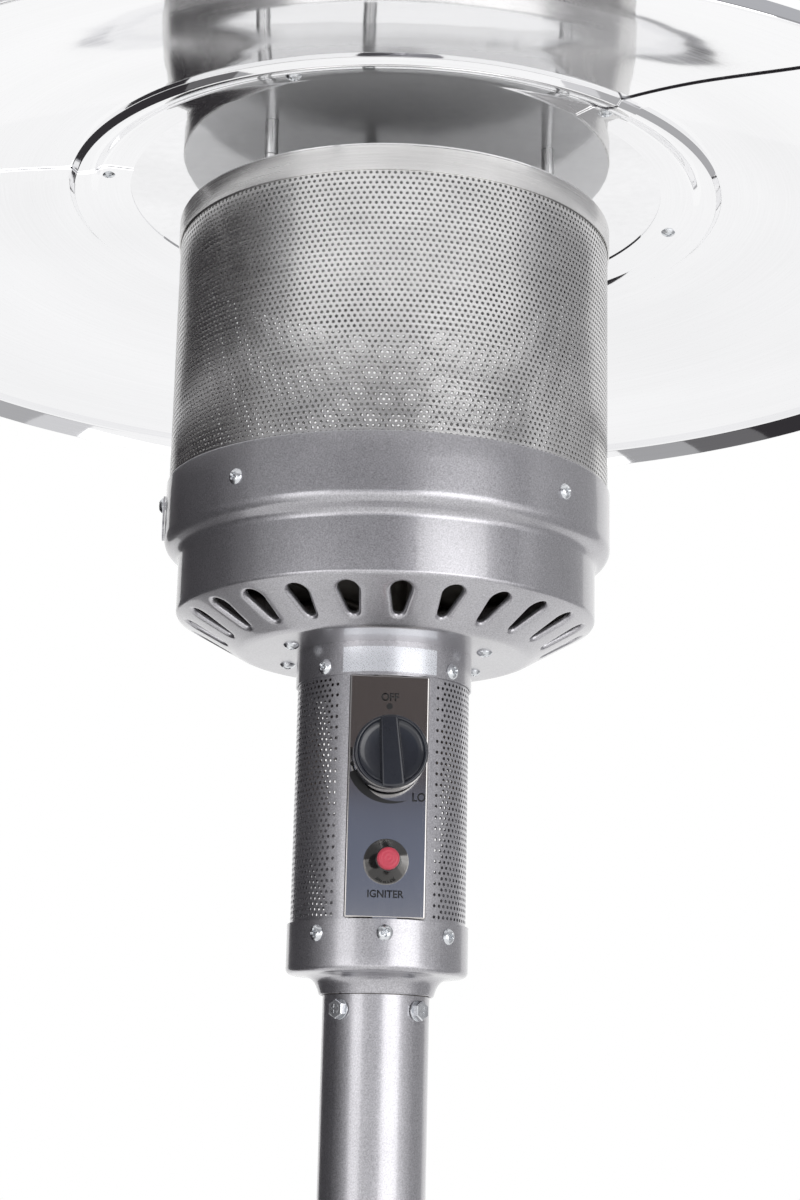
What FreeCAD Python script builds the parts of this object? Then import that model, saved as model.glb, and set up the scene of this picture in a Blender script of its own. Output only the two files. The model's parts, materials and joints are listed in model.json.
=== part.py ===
import FreeCAD, Part
import math
import os
import re
import Sketcher
from FreeCAD import Placement, Rotation, Vector

# Free-standing gas patio heater, in millimetres.
# The origin is the middle of the base's underside, +Z is up and the control panel faces -Y.
# An azimuth is counted from the front (-Y) towards +X. Heights that end in _up count from the post's top end.

SIZES = [
    # Base, ballast and post
    ("base_dia", 457, "outer diameter of the base pan"),
    ("base_height", 48, "floor to the top of the base pan"),
    ("base_wall", 1.5, "sheet of the base pan"),
    ("base_rim", 15, "width of the rim that stands on the floor"),
    ("base_corner", 8, "rounding of the pan's upper edge"),
    ("seat_dia", 290, "diameter of the raised seat for the gas bottle"),
    ("seat_rise", 3, "height of that seat"),
    ("ballast_width", 55, "radial width of the ballast ring"),
    ("ballast_thick", 20, "thickness of the ballast ring"),
    ("ballast_inset", 23.5, "pan edge to ballast ring"),
    ("post_top", 1745, "floor to the post's top end"),
    ("post_foot", 585, "floor to the post's lower end"),
    ("post_dia", 63, "outer diameter of the post"),
    ("post_wall", 1.2, "wall of the post"),
    # Brackets that carry the post over the gas bottle
    ("bracket_width", 38, "width of the flat bar"),
    ("bracket_thick", 4, "thickness of the flat bar"),
    ("leg_inset", 46.5, "pan edge to the outer face of a leg"),
    ("bracket_foot", 32, "length of a bracket's foot"),
    ("bracket_knee", 500, "floor to the knee of a leg"),
    ("bracket_tab", 70, "length of the tab on the post"),
    ("foot_bolt_in", 17, "outer face of a leg to its foot bolt"),
    ("foot_bolt_dia", 8, "thread of the bracket bolts"),
    ("foot_bolt_flats", 13, "width across flats of the bracket bolts"),
    ("foot_nut", 6.5, "thickness of the nuts on the bracket bolts"),
    ("tab_bolt_pitch", 32, "distance between the two bolts of a tab"),
    ("tab_bolt_shift", 6, "middle of the tab to the middle of its bolts"),
    ("tab_gap", 0.1, "tab to post"),
    ("knee_round", 5, "how far the flat bar's two faces are apart at a knee"),
    # Tank cover
    ("cover_inset", 23.5, "pan edge to the tank cover"),
    ("cover_wall", 0.8, "sheet of the tank cover"),
    ("cover_height", 552, "height of the tank cover's shell"),
    ("lid_rise", 70, "rise of the lid from its edge to its hole"),
    ("lid_hole_gap", 2, "gap between lid and post"),
    ("lid_top", 10, "width of the flat around the lid's hole"),
    ("lid_collar", 8, "height of the collar around that hole"),
    ("lid_seat", 6, "width of the lid's edge on the shell"),
    # Wheels
    ("wheel_dia", 76, "diameter of a wheel"),
    ("wheel_width", 22, "width of a wheel"),
    ("wheel_clear", 4, "wheel to floor while the heater stands"),
    ("axle_dia", 10, "diameter of the axle"),
    ("axle_fit", 0.05, "radial clearance of a wheel on the axle"),
    ("ear_inner", 56, "middle plane to the inner face of an axle ear"),
    ("ear_thick", 4, "thickness of an axle ear"),
    ("ear_reach", 10, "axle centre to the edge of an ear"),
    ("cap_dia", 18, "diameter of an axle cap"),
    ("cap_length", 7, "length of an axle cap"),
    ("cap_end", 2, "end wall of an axle cap"),
    ("cap_fit", 0.02, "radial clearance of a cap on the axle"),
    ("axle_hole_gap", 0.1, "radial clearance of the axle in the ears"),
    ("wheel_side_gap", 1, "wheel to ear and to cap"),
    ("wheel_web", 6, "thickness of a wheel's web"),
    ("wheel_tread", 8, "depth of a wheel's tread"),
    ("wheel_hub", 10, "radius of a wheel's hub"),
    ("wheel_edge", 2.5, "rounding of the tread"),
    ("strip_thick", 3, "thickness of the strip that holds the ears"),
    ("strip_low", 10, "floor to the strip"),
    ("strip_high", 38, "floor to the strip's upper edge"),
    ("strip_angle", 36, "angle that the strip takes up"),
    ("ear_below", 18, "axle to an ear's lower edge"),
    # Cup at the post's top
    ("cup_height", 41, "bottom of the cup to its top edge"),
    ("cup_wall", 1.5, "wall of the cup"),
    ("cup_floor", 14, "bottom of the cup to its underside corner"),
    ("cup_corner", 3.5, "rounding of the cup's lower corner"),
    ("cup_lip", 0.9, "rounding of the cup's top edge"),
    ("cup_flare", 8, "rounding where the underside runs into the neck"),
    ("neck_over", 2.5, "cup's neck past the post"),
    ("neck_bead", 1.6, "how far the bead stands out of the neck"),
    ("neck_bead_edge", 1.4, "rounding of that bead"),
    ("neck_bead_up", 0.8, "cup's lower edge to the bead"),
    ("sleeve_length", 60, "depth of the sleeve in the post"),
    ("sleeve_wall", 1.5, "wall of the sleeve"),
    ("sleeve_gap", 0.3, "sleeve to post"),
    ("sleeve_flange", 48, "radius of the sleeve's flange on the cup's floor"),
    ("cup_screw_down", 7.7, "cup's top edge to its screws"),
    ("post_bolt_down", 8.6, "post's top end to its bolts"),
    ("washer_part", 0.6, "radius of a washer as a part of the width across flats"),
    ("washer_thick", 1.2, "thickness of a washer"),
    ("head_part", 0.65, "height of a bolt head as a part of its thread"),
    ("post_bolt_dia", 6, "thread of the post's bolts"),
    ("post_bolt_flats", 10, "width across flats of the post's bolts"),
    # Control tube, collar and panel
    ("tube_dia", 104, "outer diameter of the control tube"),
    ("tube_wall", 0.8, "wall of the control tube"),
    ("tube_shown", 143, "cup's top edge to the collar's lower edge"),
    ("sheet_gap", 0.3, "gap between sheets that slide over each other"),
    ("collar_height", 19.5, "height of the collar"),
    ("collar_wall", 1, "wall of the collar"),
    ("collar_screw_up", 5.5, "collar's lower edge to its screws"),
    ("plate_gap", 0.1, "blank plate to the collar"),
    ("plate_lift", 1, "collar's lower edge to the blank plate"),
    ("plate_height", 15, "height of the blank plate on the collar"),
    ("plate_angle", 62, "angle that the blank plate takes up"),
    ("plate_thick", 0.3, "thickness of the blank plate"),
    ("panel_width", 47, "width of the control panel"),
    ("panel_sheet", 1, "sheet of the control panel"),
    ("panel_lip", 3.3, "depth of the panel's bent lips"),
    ("panel_end_gap", 0.6, "panel to cup and to collar"),
    ("panel_edge", 1.2, "rounding of the panel's bent edges"),
    ("window_clear", 0.3, "side lip to the edge of the tube's window"),
    ("tongue_half", 7, "half the width of the panel's tongues"),
    ("tongue_length", 12, "length of a tongue past the panel's end"),
    # Knob, valve and igniter
    ("knob_up", 94, "cup's top edge to the knob's centre"),
    ("knob_dia", 43, "diameter of the knob"),
    ("knob_depth", 17, "depth of the knob"),
    ("knob_wall", 2.5, "wall of the knob's skirt"),
    ("knob_gap", 4.5, "panel to the knob's skirt"),
    ("knob_grip_width", 11, "width of the knob's grip bar"),
    ("knob_edge", 1.2, "rounding of the knob's rim"),
    ("grip_in", 0.6, "grip bar's ends inside the knob's edge"),
    ("knob_hub_in", 1, "skirt's edge to the hub"),
    ("knob_fit", 0.02, "radial clearance of the stem in the knob"),
    ("knob_grip_proud", 1, "how far the grip bar stands past the rim"),
    ("knob_travel", 3.5, "how far the knob is pushed in"),
    ("stem_dia", 8, "diameter of the knob's stem"),
    ("stem_fit", 0.05, "radial clearance of stem and plug"),
    ("stem_hole_gap", 1, "stem to its hole in the panel"),
    ("stem_flat", 1.2, "depth of the flat on the stem"),
    ("stem_in_knob", 8, "how far the stem reaches into the knob"),
    ("knob_rim", 1.8, "width of the rim around the knob's face"),
    ("knob_dish", 2.2, "depth of the knob's face below its rim"),
    ("plug_dia", 14, "diameter of the valve's plug"),
    ("plug_length", 24, "length of the valve's plug"),
    ("plug_set_back", 1.5, "panel to the plug's front"),
    ("plug_end_gap", 0.2, "plug to the end of its bore"),
    ("valve_width", 34, "width of the valve body"),
    ("valve_depth", 31, "depth of the valve body"),
    ("valve_height", 45, "height of the valve body"),
    ("valve_screw_wall", 2.5, "valve's bore to a valve screw"),
    ("valve_up", 25, "knob's centre to the valve's top"),
    ("boss_height", 8, "height of the valve's bosses"),
    ("boss_dia", 14, "diameter of the valve's bosses"),
    ("pipe_dia", 8, "diameter of the gas pipe"),
    ("pipe_wall", 1, "wall of the gas pipe"),
    ("pipe_rise", 7.8, "straight start of the gas pipe"),
    ("outlet_depth", 9, "depth of the valve's gas bores"),
    ("pipe_bend", 12, "bend radius of the gas pipe"),
    ("inlet_up", 9, "valve's lower end to the gas inlet"),
    ("switch_width", 18, "width of the tilt switch"),
    ("switch_depth", 12, "depth of the tilt switch"),
    ("switch_height", 18, "height of the tilt switch"),
    ("fitting_flats", 17, "width across flats of the inlet fitting"),
    ("spigot_r", 6.5, "radius of its threaded spigot"),
    ("switch_down", 2, "valve's top to the tilt switch"),
    ("fitting_length", 21, "length of the inlet fitting"),
    ("igniter_up", 33, "cup's top edge to the igniter's centre"),
    ("bezel_dia", 26, "diameter of the igniter's bezel"),
    ("bezel_band", 3, "height of the bezel's straight band"),
    ("bezel_depth", 15, "depth of the bezel"),
    ("bezel_top_dia", 15.6, "diameter of the bezel's front"),
    ("bezel_fit", 0.1, "bezel to the barrel's neck"),
    ("barrel_past", 9, "how far the barrel's neck stands out of the panel"),
    ("barrel_wall", 1, "wall of the barrel's neck"),
    ("button_edge", 0.8, "rounding of the button"),
    ("button_dia", 12.8, "diameter of the igniter button"),
    ("button_proud", 5, "how far the button stands out of its bezel"),
    ("button_travel", 4.5, "how far the button is pushed in"),
    ("button_fit", 0.1, "radial clearance of the button"),
    ("button_length", 30, "length of the button with its plunger"),
    ("barrel_dia", 18, "diameter of the igniter's barrel"),
    ("barrel_length", 42, "length of the barrel behind the panel"),
    # Burner housing
    ("housing_over", 1.5, "housing's upper band past the screen"),
    ("low_band_in", 9.2, "lower band inside the upper one"),
    ("housing_wall", 1, "wall of the housing"),
    ("housing_flat_dia", 172, "diameter of the flat underside"),
    ("cone_rise", 26.4, "height of the slotted cone"),
    ("low_band_top", 50.5, "flat underside to the top of the lower band"),
    ("cone_round", 3, "rounding from the cone into the lower band"),
    ("flat_round", 2.5, "rounding from the flat underside into the cone"),
    ("step_rise", 6.2, "rise of the slope between the bands"),
    ("step_round", 20, "rounding from the slope into the upper band"),
    ("housing_height", 102.8, "flat underside to the housing's top edge"),
    ("housing_edge", 0.9, "rounding of the housing's top edge"),
    ("slot_outer_part", 0.596, "place of a slot's wide end on the cone, as a part of its width"),
    ("slot_inner_part", 0.395, "place of a slot's narrow end"),
    ("slot_wide", 6.4, "radius of a slot's wide end"),
    ("slot_narrow", 3.2, "radius of a slot's narrow end"),
    ("slot_count", 24, "slots in the housing's underside"),
    ("flange_in", 2, "flat underside's edge to the flange in the housing"),
    ("flange_thick", 2, "thickness of that flange"),
    ("neck_wall", 1.5, "wall of the flange's neck"),
    ("neck_depth", 18, "depth of the flange's neck in the control tube"),
    ("under_screw_past", 13, "control tube to the screws in the underside"),
    ("housing_screw_down", 20.3, "housing's top edge to its screws"),
    ("match_hole_dia", 13, "diameter of the match hole"),
    ("match_hole_down", 25.3, "housing's top edge to the match hole"),
    ("match_pivot_rise", 13, "match hole to the pivot of its cover"),
    ("match_cover_wide", 9, "radius of the cover's wide end"),
    ("match_cover_narrow", 6, "radius of the cover's narrow end"),
    ("match_fit", 0.06, "radial clearance of the match-hole cover on its screw"),
    ("match_cover_thick", 1.2, "thickness of the match-hole cover"),
    # Burner
    ("burner_plate_up", 63.5, "flat underside to the burner plate"),
    ("burner_plate_thick", 1.2, "sheet of the burner plate"),
    ("burner_rim", 28, "height of the burner plate's rim"),
    ("burner_dia", 110, "diameter of the burner head"),
    ("burner_height", 24, "height of the burner head"),
    ("port_count", 24, "ports in the burner head"),
    ("venturi_dia", 26, "diameter of the venturi tube"),
    ("venturi_start", 4.5, "flat underside to the venturi tube"),
    ("venturi_flange", 22, "radius of the venturi tube's flange"),
    ("orifice_flats", 12, "width across flats of the orifice"),
    ("orifice_height", 13, "height of the orifice"),
    ("air_window", 5.2, "radius of the venturi tube's air windows"),
    ("orifice_up", 2, "flat underside to the orifice"),
    ("orifice_nose", 4.3, "radius of the orifice's nose"),
    ("orifice_bore", 1, "radius of the gas jet"),
    ("orifice_hex", 6, "height of the orifice's hexagon"),
    ("port_radius", 2.5, "radius of a port in the burner head"),
    ("burner_rim_sheet", 1, "sheet of the burner plate's rim"),
    ("pilot_out", 72, "axis to the pilot burner"),
    ("pilot_height", 30, "height of the pilot burner"),
    ("pilot_window_down", 6, "pilot burner's top to its window"),
    ("pilot_pipe", 4, "diameter of the pilot tube"),
    ("pilot_pipe_side", 10, "middle plane to the pilot tube at the valve"),
    ("probe_step", 12, "pilot burner to thermocouple and to electrode"),
    ("probe_r", 2.4, "radius of thermocouple and electrode"),
    ("probe_nut", 3, "height of their nuts"),
    ("probe_tip", 6, "length of their tips"),
    ("pilot_low", 4, "top of the cone to the pilot tube's lower bend"),
    ("pilot_high", 12, "burner plate to the pilot tube's upper bend"),
    ("pilot_r", 6, "radius of the pilot burner's foot"),
    ("pilot_hood", 4.3, "radius of its hood"),
    ("pilot_throat", 2.6, "radius of its throat"),
    ("pilot_wall", 0.8, "wall of the pilot tube"),
    ("probe_length", 50, "length of thermocouple and electrode"),
    # Screen, ring and deck
    ("screen_dia", 271, "outer diameter of the perforated screen"),
    ("screen_wall", 0.8, "wall of the perforated screen"),
    ("screen_up", 0.5, "burner plate's underside to the screen"),
    ("screen_shown", 157.7, "housing's top edge to the top ring"),
    ("ring_height", 15.5, "height of the top ring"),
    ("ring_sheet", 0.8, "sheet of the top ring"),
    ("ring_flange", 8, "width of the top ring's flange"),
    ("ring_edge", 0.7, "rounding of the top ring's edge"),
    ("deck_thick", 1, "thickness of the deck"),
    # Reflector
    ("reflector_up", 502.4, "post's top end to the underside of the inner flange"),
    ("reflector_sheet", 0.8, "sheet of the reflector"),
    ("reflector_hole_dia", 338, "diameter of the hole in the panels"),
    ("reflector_flange_dia", 382, "diameter of the panels' flat inner flange"),
    ("reflector_bead_dia", 406, "diameter of the pressed bead's lower edge"),
    ("reflector_bead_drop", 7.2, "flange to the bead's lower edge"),
    ("reflector_bead_side", 3.6, "bead's lower edge to the start of the cone"),
    ("reflector_bead_rise", 3, "rise from the bead's lower edge to the cone"),
    ("reflector_fall", 45, "fall of the cone from its start to the fold"),
    ("reflector_dia", 813, "outer diameter of the reflector"),
    ("reflector_rim_width", 6.3, "fold to the outer edge"),
    ("reflector_rim_drop", 11.4, "fold to the lower edge"),
    ("reflector_hem", 2.4, "height of the hem on the lower edge"),
    ("panel_count", 3, "panels of the reflector"),
    ("panel_gap", 0.2, "gap between panels, in degrees"),
    ("lap_angle", 4.1, "angle that a lap strip takes up"),
    ("lap_own_part", 0.22, "part of that angle under the strip's own panel"),
    ("lap_gap", 0.15, "lap strip to the next panel"),
    ("lap_end", 1.5, "start of the cone to the lap strip's inner end"),
    ("lap_fold", 0.4, "fold to the lap strip's outer end"),
    ("centre_plate_dia", 381, "diameter of the centre plate"),
    ("reflector_screw_out", 183.5, "axis to the reflector's screws"),
    ("rod_out", 101, "axis to a reflector rod"),
    ("rod_dia", 8, "diameter of a reflector rod"),
    ("rod_stud_dia", 6, "diameter of its threaded end"),
    ("rod_stud_length", 11, "length of its threaded end"),
    ("rod_shoulder_r", 7.2, "radius of a rod's shoulder"),
    ("rod_shoulder", 3, "height of a rod's shoulder"),
    ("rod_washer", 1.4, "thickness of the washers on the studs"),
    ("rod_washer_r", 9, "radius of those washers"),
    ("dome_r", 4.6, "radius of a dome nut's cap"),
    ("dome_up", 6.6, "height of a dome nut's straight part"),
    ("rod_below", 12, "length of a rod below the deck"),
    # Small screws and clearances
    ("screw_dia", 5, "thread of the small screws"),
    ("screw_head_dia", 9.5, "head diameter of the small screws"),
    ("screw_head_height", 2.8, "head height of the small screws"),
    ("screw_nut_flats", 8, "width across flats of their nuts"),
    ("screw_nut", 4, "thickness of their nuts"),
    ("screw_top_dia", 6.5, "diameter of a small screw's top"),
    ("thread_fit", 0.05, "thread to nut"),
    ("screw_length", 8, "length of the small screws under their head"),
    ("cut_over", 1, "how far a cutting tool runs past a face"),
    ("hole_gap", 0.2, "screw to the wall of its hole"),
    ("nut_thick", 5, "thickness of the nuts on the post and rods"),
    ("bolt_past_nut", 1, "how far a bolt stands out of its nut"),
]

PLACES = [
    ("base_r", "base_dia / 2"),
    ("seat_top", "base_height + seat_rise"),
    ("ballast_out", "base_r - ballast_inset"),
    ("ballast_in", "ballast_out - ballast_width"),
    ("bracket_leg", "base_r - leg_inset"),
    ("foot_bolt_r", "bracket_leg - foot_bolt_in"),
    ("post_r", "post_dia / 2"),
    ("post_bore", "post_r - post_wall"),
    ("cover_r", "base_r - cover_inset"),
    ("cover_top", "base_height + cover_height"),
    ("lid_hole", "post_r + lid_hole_gap"),
    ("tab_face", "post_r + tab_gap"),
    ("tab_top", "post_foot + bracket_tab"),
    ("axle_back", "base_r + wheel_dia / 2 - wheel_clear"),
    ("axle_height", "wheel_dia / 2 + wheel_clear"),
    ("wheel_inner", "ear_inner + ear_thick + wheel_side_gap"),
    ("wheel_outer", "wheel_inner + wheel_width"),
    ("cap_start", "wheel_outer + wheel_side_gap"),
    ("axle_half", "cap_start + cap_length - cap_end"),
    ("sleeve_out", "post_bore - sleeve_gap"),
    ("sleeve_in", "sleeve_out - sleeve_wall"),
    ("neck_r", "post_r + neck_over"),
    ("tube_r", "tube_dia / 2"),
    ("tube_bore", "tube_r - tube_wall"),
    ("cup_bore", "tube_r + sheet_gap"),
    ("cup_r", "cup_bore + cup_wall"),
    ("collar_bore", "tube_r + sheet_gap"),
    ("collar_r", "collar_bore + collar_wall"),
    ("cup_inner_floor", "post_top + cup_floor + cup_wall"),
    ("cup_top", "post_top + cup_height"),
    ("cup_screw_height", "cup_top - cup_screw_down"),
    ("collar_bottom", "cup_top + tube_shown"),
    ("collar_screw_height", "collar_bottom + collar_screw_up"),
    ("flat_height", "collar_bottom + collar_height"),
    ("flat_inside", "flat_height + housing_wall"),
    ("housing_top", "flat_height + housing_height"),
    ("flat_r", "housing_flat_dia / 2"),
    ("neck_out", "tube_bore - sheet_gap"),
    ("neck_in", "neck_out - neck_wall"),
    ("flange_out", "flat_r - flange_in"),
    ("under_screw_out", "tube_r + under_screw_past"),
    ("screen_r", "screen_dia / 2"),
    ("housing_r", "screen_r + housing_over"),
    ("low_r", "housing_r - low_band_in"),
    ("cone_height", "flat_height + cone_rise"),
    ("cone_mitre", "housing_wall * tan(atan(cone_rise / (low_r - flat_r)) / 2)"),
    ("cone_band_mitre", "housing_wall * tan(45 deg - atan(cone_rise / (low_r - flat_r)) / 2)"),
    ("step_mitre", "housing_wall * tan(45 deg - atan(step_rise / low_band_in) / 2)"),
    ("slot_outer", "flat_r + (low_r - flat_r) * slot_outer_part"),
    ("slot_inner", "flat_r + (low_r - flat_r) * slot_inner_part"),
    ("screen_bore", "screen_r - screen_wall"),
    ("burner_plate", "flat_height + burner_plate_up"),
    ("burner_deck", "burner_plate + burner_plate_thick"),
    ("burner_rim_r", "screen_bore - sheet_gap"),
    ("burner_r", "burner_dia / 2"),
    ("housing_screw_height", "housing_top - housing_screw_down"),
    ("match_height", "housing_top - match_hole_down"),
    ("pivot_height", "match_height + match_pivot_rise"),
    ("match_plane", "housing_r + sheet_gap"),
    ("ring_bottom", "housing_top + screen_shown"),
    ("ring_top", "ring_bottom + ring_height"),
    ("screen_bottom", "burner_plate + screen_up"),
    ("screen_top", "ring_top - ring_sheet - sheet_gap"),
    ("ring_bore", "screen_r + sheet_gap"),
    ("ring_r", "ring_bore + ring_sheet"),
    ("deck_top", "ring_top + deck_thick"),
    ("flange_height", "post_top + reflector_up"),
    ("plate_bottom", "flange_height + reflector_sheet"),
    ("plate_top", "plate_bottom + reflector_sheet"),
    ("reflector_r", "reflector_dia / 2"),
    ("hole_r", "reflector_hole_dia / 2"),
    ("fold_r", "reflector_r - reflector_rim_width"),
    ("flange_flat_r", "reflector_flange_dia / 2"),
    ("bead_r", "reflector_bead_dia / 2"),
    ("bead_height", "flange_height - reflector_bead_drop"),
    ("cone_start_r", "bead_r + reflector_bead_side"),
    ("cone_top", "bead_height + reflector_bead_rise"),
    ("fold_height", "cone_top - reflector_fall"),
    ("rim_bottom", "fold_height - reflector_rim_drop"),
    ("rim_thick", "reflector_sheet / cos(atan(reflector_rim_width / reflector_rim_drop))"),
    ("panel_half", "panel_width / 2"),
    ("lip_inside", "panel_half - panel_sheet"),
    ("window_half", "lip_inside - window_clear"),
    ("panel_back", "sqrt(tube_r * tube_r - lip_inside * lip_inside) + sheet_gap"),
    ("panel_front", "panel_back + panel_lip"),
    ("panel_inside", "panel_front - panel_sheet"),
    ("panel_bottom", "cup_top + panel_end_gap"),
    ("panel_height", "tube_shown - 2 * panel_end_gap"),
    ("panel_top", "panel_bottom + panel_height"),
    ("tongue_front", "sqrt(tube_bore * tube_bore - tongue_half * tongue_half) - sheet_gap"),
    ("knob_height", "cup_top + knob_up"),
    ("knob_back", "panel_front + knob_gap"),
    ("knob_front", "knob_back + knob_depth"),
    ("knob_r", "knob_dia / 2"),
    ("stem_r", "stem_dia / 2"),
    ("plug_front", "panel_inside - plug_set_back"),
    ("plug_back", "plug_front - plug_length"),
    ("stem_back", "plug_front - plug_length / 3"),
    ("valve_back", "panel_inside - valve_depth"),
    ("valve_top", "knob_height + valve_up"),
    ("valve_screw_out", "(plug_dia + screw_dia) / 2 + valve_screw_wall"),
    ("valve_bottom", "valve_top - valve_height"),
    ("outlet_y", "valve_back + valve_depth / 3"),
    ("boss_top", "valve_top + boss_height"),
    ("inlet_height", "valve_bottom + inlet_up"),
    ("orifice_bottom", "flat_height + orifice_up"),
    ("igniter_height", "cup_top + igniter_up"),
    ("bezel_front", "panel_front + bezel_depth"),
    ("button_front", "bezel_front + button_proud"),
    ("button_r", "button_dia / 2"),
    ("barrel_neck", "button_r + button_fit + barrel_wall"),
    ("barrel_end", "panel_front + barrel_past"),
    ("venturi_bottom", "flat_height + venturi_start"),
    ("venturi_r", "venturi_dia / 2"),
]

# Azimuths, in degrees
REFLECTOR_FRONT = -23.2
ROD_START = -54
HOUSING_SCREWS = (44, -44, 136, -136)
COLLAR_SCREWS = (45, -45, 135, -135)
CUP_SCREWS = (0, 45, -45, 135, -135, 180)
POST_BOLTS = (45, -45, 135, -135)
UNDER_SCREWS = (63, -63, 117, -117)
BRACKETS = (60, 180, -60)
FRONT = 0
RIGHT = 90
REAR = 180
LEFT = -90
FULL_TURN = 360

doc = FreeCAD.newDocument("patio_heater")
sizes = doc.addObject("Spreadsheet::Sheet", "Sizes")
places = doc.addObject("App::VarSet", "Places")
probe = doc.addObject("App::VarSet", "Probe")
probe.addProperty("App::PropertyFloat", "amount")
size_names = {alias for alias, amount, note in SIZES}
place_names = {name for name, rule in PLACES}
nodes = []


def full(rule):
    """A rule with each size and place written as the sheet's or the place list's own."""

    def owned(match):
        word = match.group()
        if word in size_names:
            return "Sizes." + word
        if word in place_names:
            return "Places." + word
        return word

    return re.sub("[a-z][a-z_]*", owned, rule)


def bind(thing, name, rule):
    """Ties a property of a thing to a rule."""
    thing.setExpression(name, full(rule))


def number(rule):
    """What a rule comes to now."""
    bind(probe, "amount", rule)
    probe.recompute()
    return probe.amount


def fill_tables():
    """Writes the driving sizes into the sheet and the places that follow from them."""
    for row, (alias, amount, note) in enumerate(SIZES, start=1):
        sizes.set(f"A{row}", note)
        sizes.set(f"B{row}", str(amount))
        sizes.setAlias(f"B{row}", alias)
    doc.recompute()
    for name, rule in PLACES:
        places.addProperty("App::PropertyFloat", name)
    for name, rule in PLACES:
        bind(places, name, rule)
    doc.recompute()


def keep(thing, label):
    """Names a finished piece and puts it on the list of nodes."""
    thing.Label = label
    nodes.append(thing)
    return thing


def new_body(label):
    """An empty body for one piece."""
    return doc.addObject("PartDesign::Body", label + "_body")


def origin_of(body, role):
    """One of a body's own origin planes or axes."""
    for feature in body.Origin.OriginFeatures:
        if feature.Role == role:
            return feature
    raise ValueError(role)


def hold_point(sketch, line, x_rule, y_rule):
    """Fixes the start of a line at a place given by two rules."""
    for kind, rule, axis in (("DistanceX", x_rule, -2), ("DistanceY", y_rule, -1)):
        if rule == "0":
            sketch.addConstraint(Sketcher.Constraint("PointOnObject", line, 1, axis))
            continue
        index = sketch.addConstraint(Sketcher.Constraint(kind, -1, 1, line, 1, number(rule)))
        bind(sketch, f"Constraints[{index}]", rule)


def outline(body, role, corners):
    """A closed outline of straight lines on one of the body's planes."""
    sketch = body.newObject("Sketcher::SketchObject", "Outline")
    sketch.AttachmentSupport = (origin_of(body, role), [""])
    sketch.MapMode = "FlatFace"
    points = [Vector(number(x), number(y), 0) for x, y in corners]
    count = len(points)
    for i in range(count):
        sketch.addGeometry(Part.LineSegment(points[i], points[(i + 1) % count]))
    for i in range(count):
        sketch.addConstraint(Sketcher.Constraint("Coincident", i, 2, (i + 1) % count, 1))
    for i, (x, y) in enumerate(corners):
        hold_point(sketch, i, x, y)
    return sketch


def face_azimuth(body, azimuth):
    """Turns a body about Z so that its +X side looks along an azimuth."""
    body.Placement = Placement(Vector(0, 0, 0), Rotation(Vector(0, 0, 1), azimuth - RIGHT))


def turned(label, corners, angle="360", azimuth=RIGHT):
    """A body turned about Z from corners (radius, height); a part turn is centred on the azimuth."""
    body = new_body(label)
    sketch = outline(body, "XZ_Plane", corners)
    turn = body.newObject("PartDesign::Revolution", "Turn")
    turn.Profile = (sketch, [""])
    turn.ReferenceAxis = (sketch, ["V_Axis"])
    bind(turn, "Angle", angle)
    turn.Midplane = angle != "360"
    sketch.Visibility = False
    face_azimuth(body, azimuth)
    doc.recompute()
    return body


def circle_edges(shape, radius, height):
    """Names of the edges that go round Z at a radius and a height."""
    found = []
    for i, edge in enumerate(shape.Edges, start=1):
        if not isinstance(edge.Curve, Part.Circle):
            continue
        centre = edge.Curve.Center
        on_axis = math.hypot(centre.x, centre.y) < 0.01
        if on_axis and abs(edge.Curve.Radius - radius) < 0.01 and abs(centre.z - height) < 0.01:
            found.append(f"Edge{i}")
    if not found:
        raise ValueError(f"no edge at radius {radius}, height {height}")
    return found


def rounded(body, rounds):
    """Rounds edges of a turned body; each entry is (radius from Z, height, rounding)."""
    for place, height, rounding in rounds:
        base = body.Tip
        names = circle_edges(base.Shape, number(place), number(height))
        fillet = body.newObject("PartDesign::Fillet", "Round")
        fillet.Base = (base, names)
        bind(fillet, "Radius", rounding)
        doc.recompute()
    return body


def solid(kind, **rules):
    """A primitive whose sizes follow rules."""
    thing = doc.addObject("Part::" + kind, kind)
    for name, rule in rules.items():
        bind(thing, name, rule)
    return thing


def set_base(thing, x, y, z):
    """Ties where a piece stands to three rules."""
    bind(thing, "Placement.Base.x", x)
    bind(thing, "Placement.Base.y", y)
    bind(thing, "Placement.Base.z", z)
    return thing


def box(x, y, z, length, width, height):
    """A box with its low corner at x, y, z."""
    return set_base(solid("Box", Length=length, Width=width, Height=height), x, y, z)


def east(azimuth, radius):
    """Rule for the x of a point at a radius and an azimuth."""
    return f"({radius}) * sin({azimuth} deg)"


def north(azimuth, radius):
    """Rule for the y of a point at a radius and an azimuth."""
    return f"-({radius}) * cos({azimuth} deg)"


def outward(azimuth):
    """The horizontal direction of an azimuth."""
    angle = math.radians(azimuth)
    return Vector(math.sin(angle), -math.cos(angle), 0)


def radial(thing, azimuth, start, height):
    """Lays a piece made along Z so that it points outwards from a radius."""
    thing.Placement = Placement(Vector(0, 0, 0), Rotation(Vector(0, 0, 1), outward(azimuth)))
    return set_base(thing, east(azimuth, start), north(azimuth, start), height)


def forward(thing, start, height, x="0"):
    """Lays a piece made along Z so that it points to the front from y = -start."""
    thing.Placement = Placement(Vector(0, 0, 0), Rotation(Vector(0, 0, 1), outward(FRONT)))
    return set_base(thing, x, f"-({start})", height)


def upright(thing, azimuth, radius, height):
    """Stands a piece on a circle about Z."""
    return set_base(thing, east(azimuth, radius), north(azimuth, radius), height)


def radial_hole(azimuth, height, hole_radius, start, depth):
    """A cutter for a hole that points outwards."""
    return radial(solid("Cylinder", Radius=hole_radius, Height=depth), azimuth, start, height)


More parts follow.
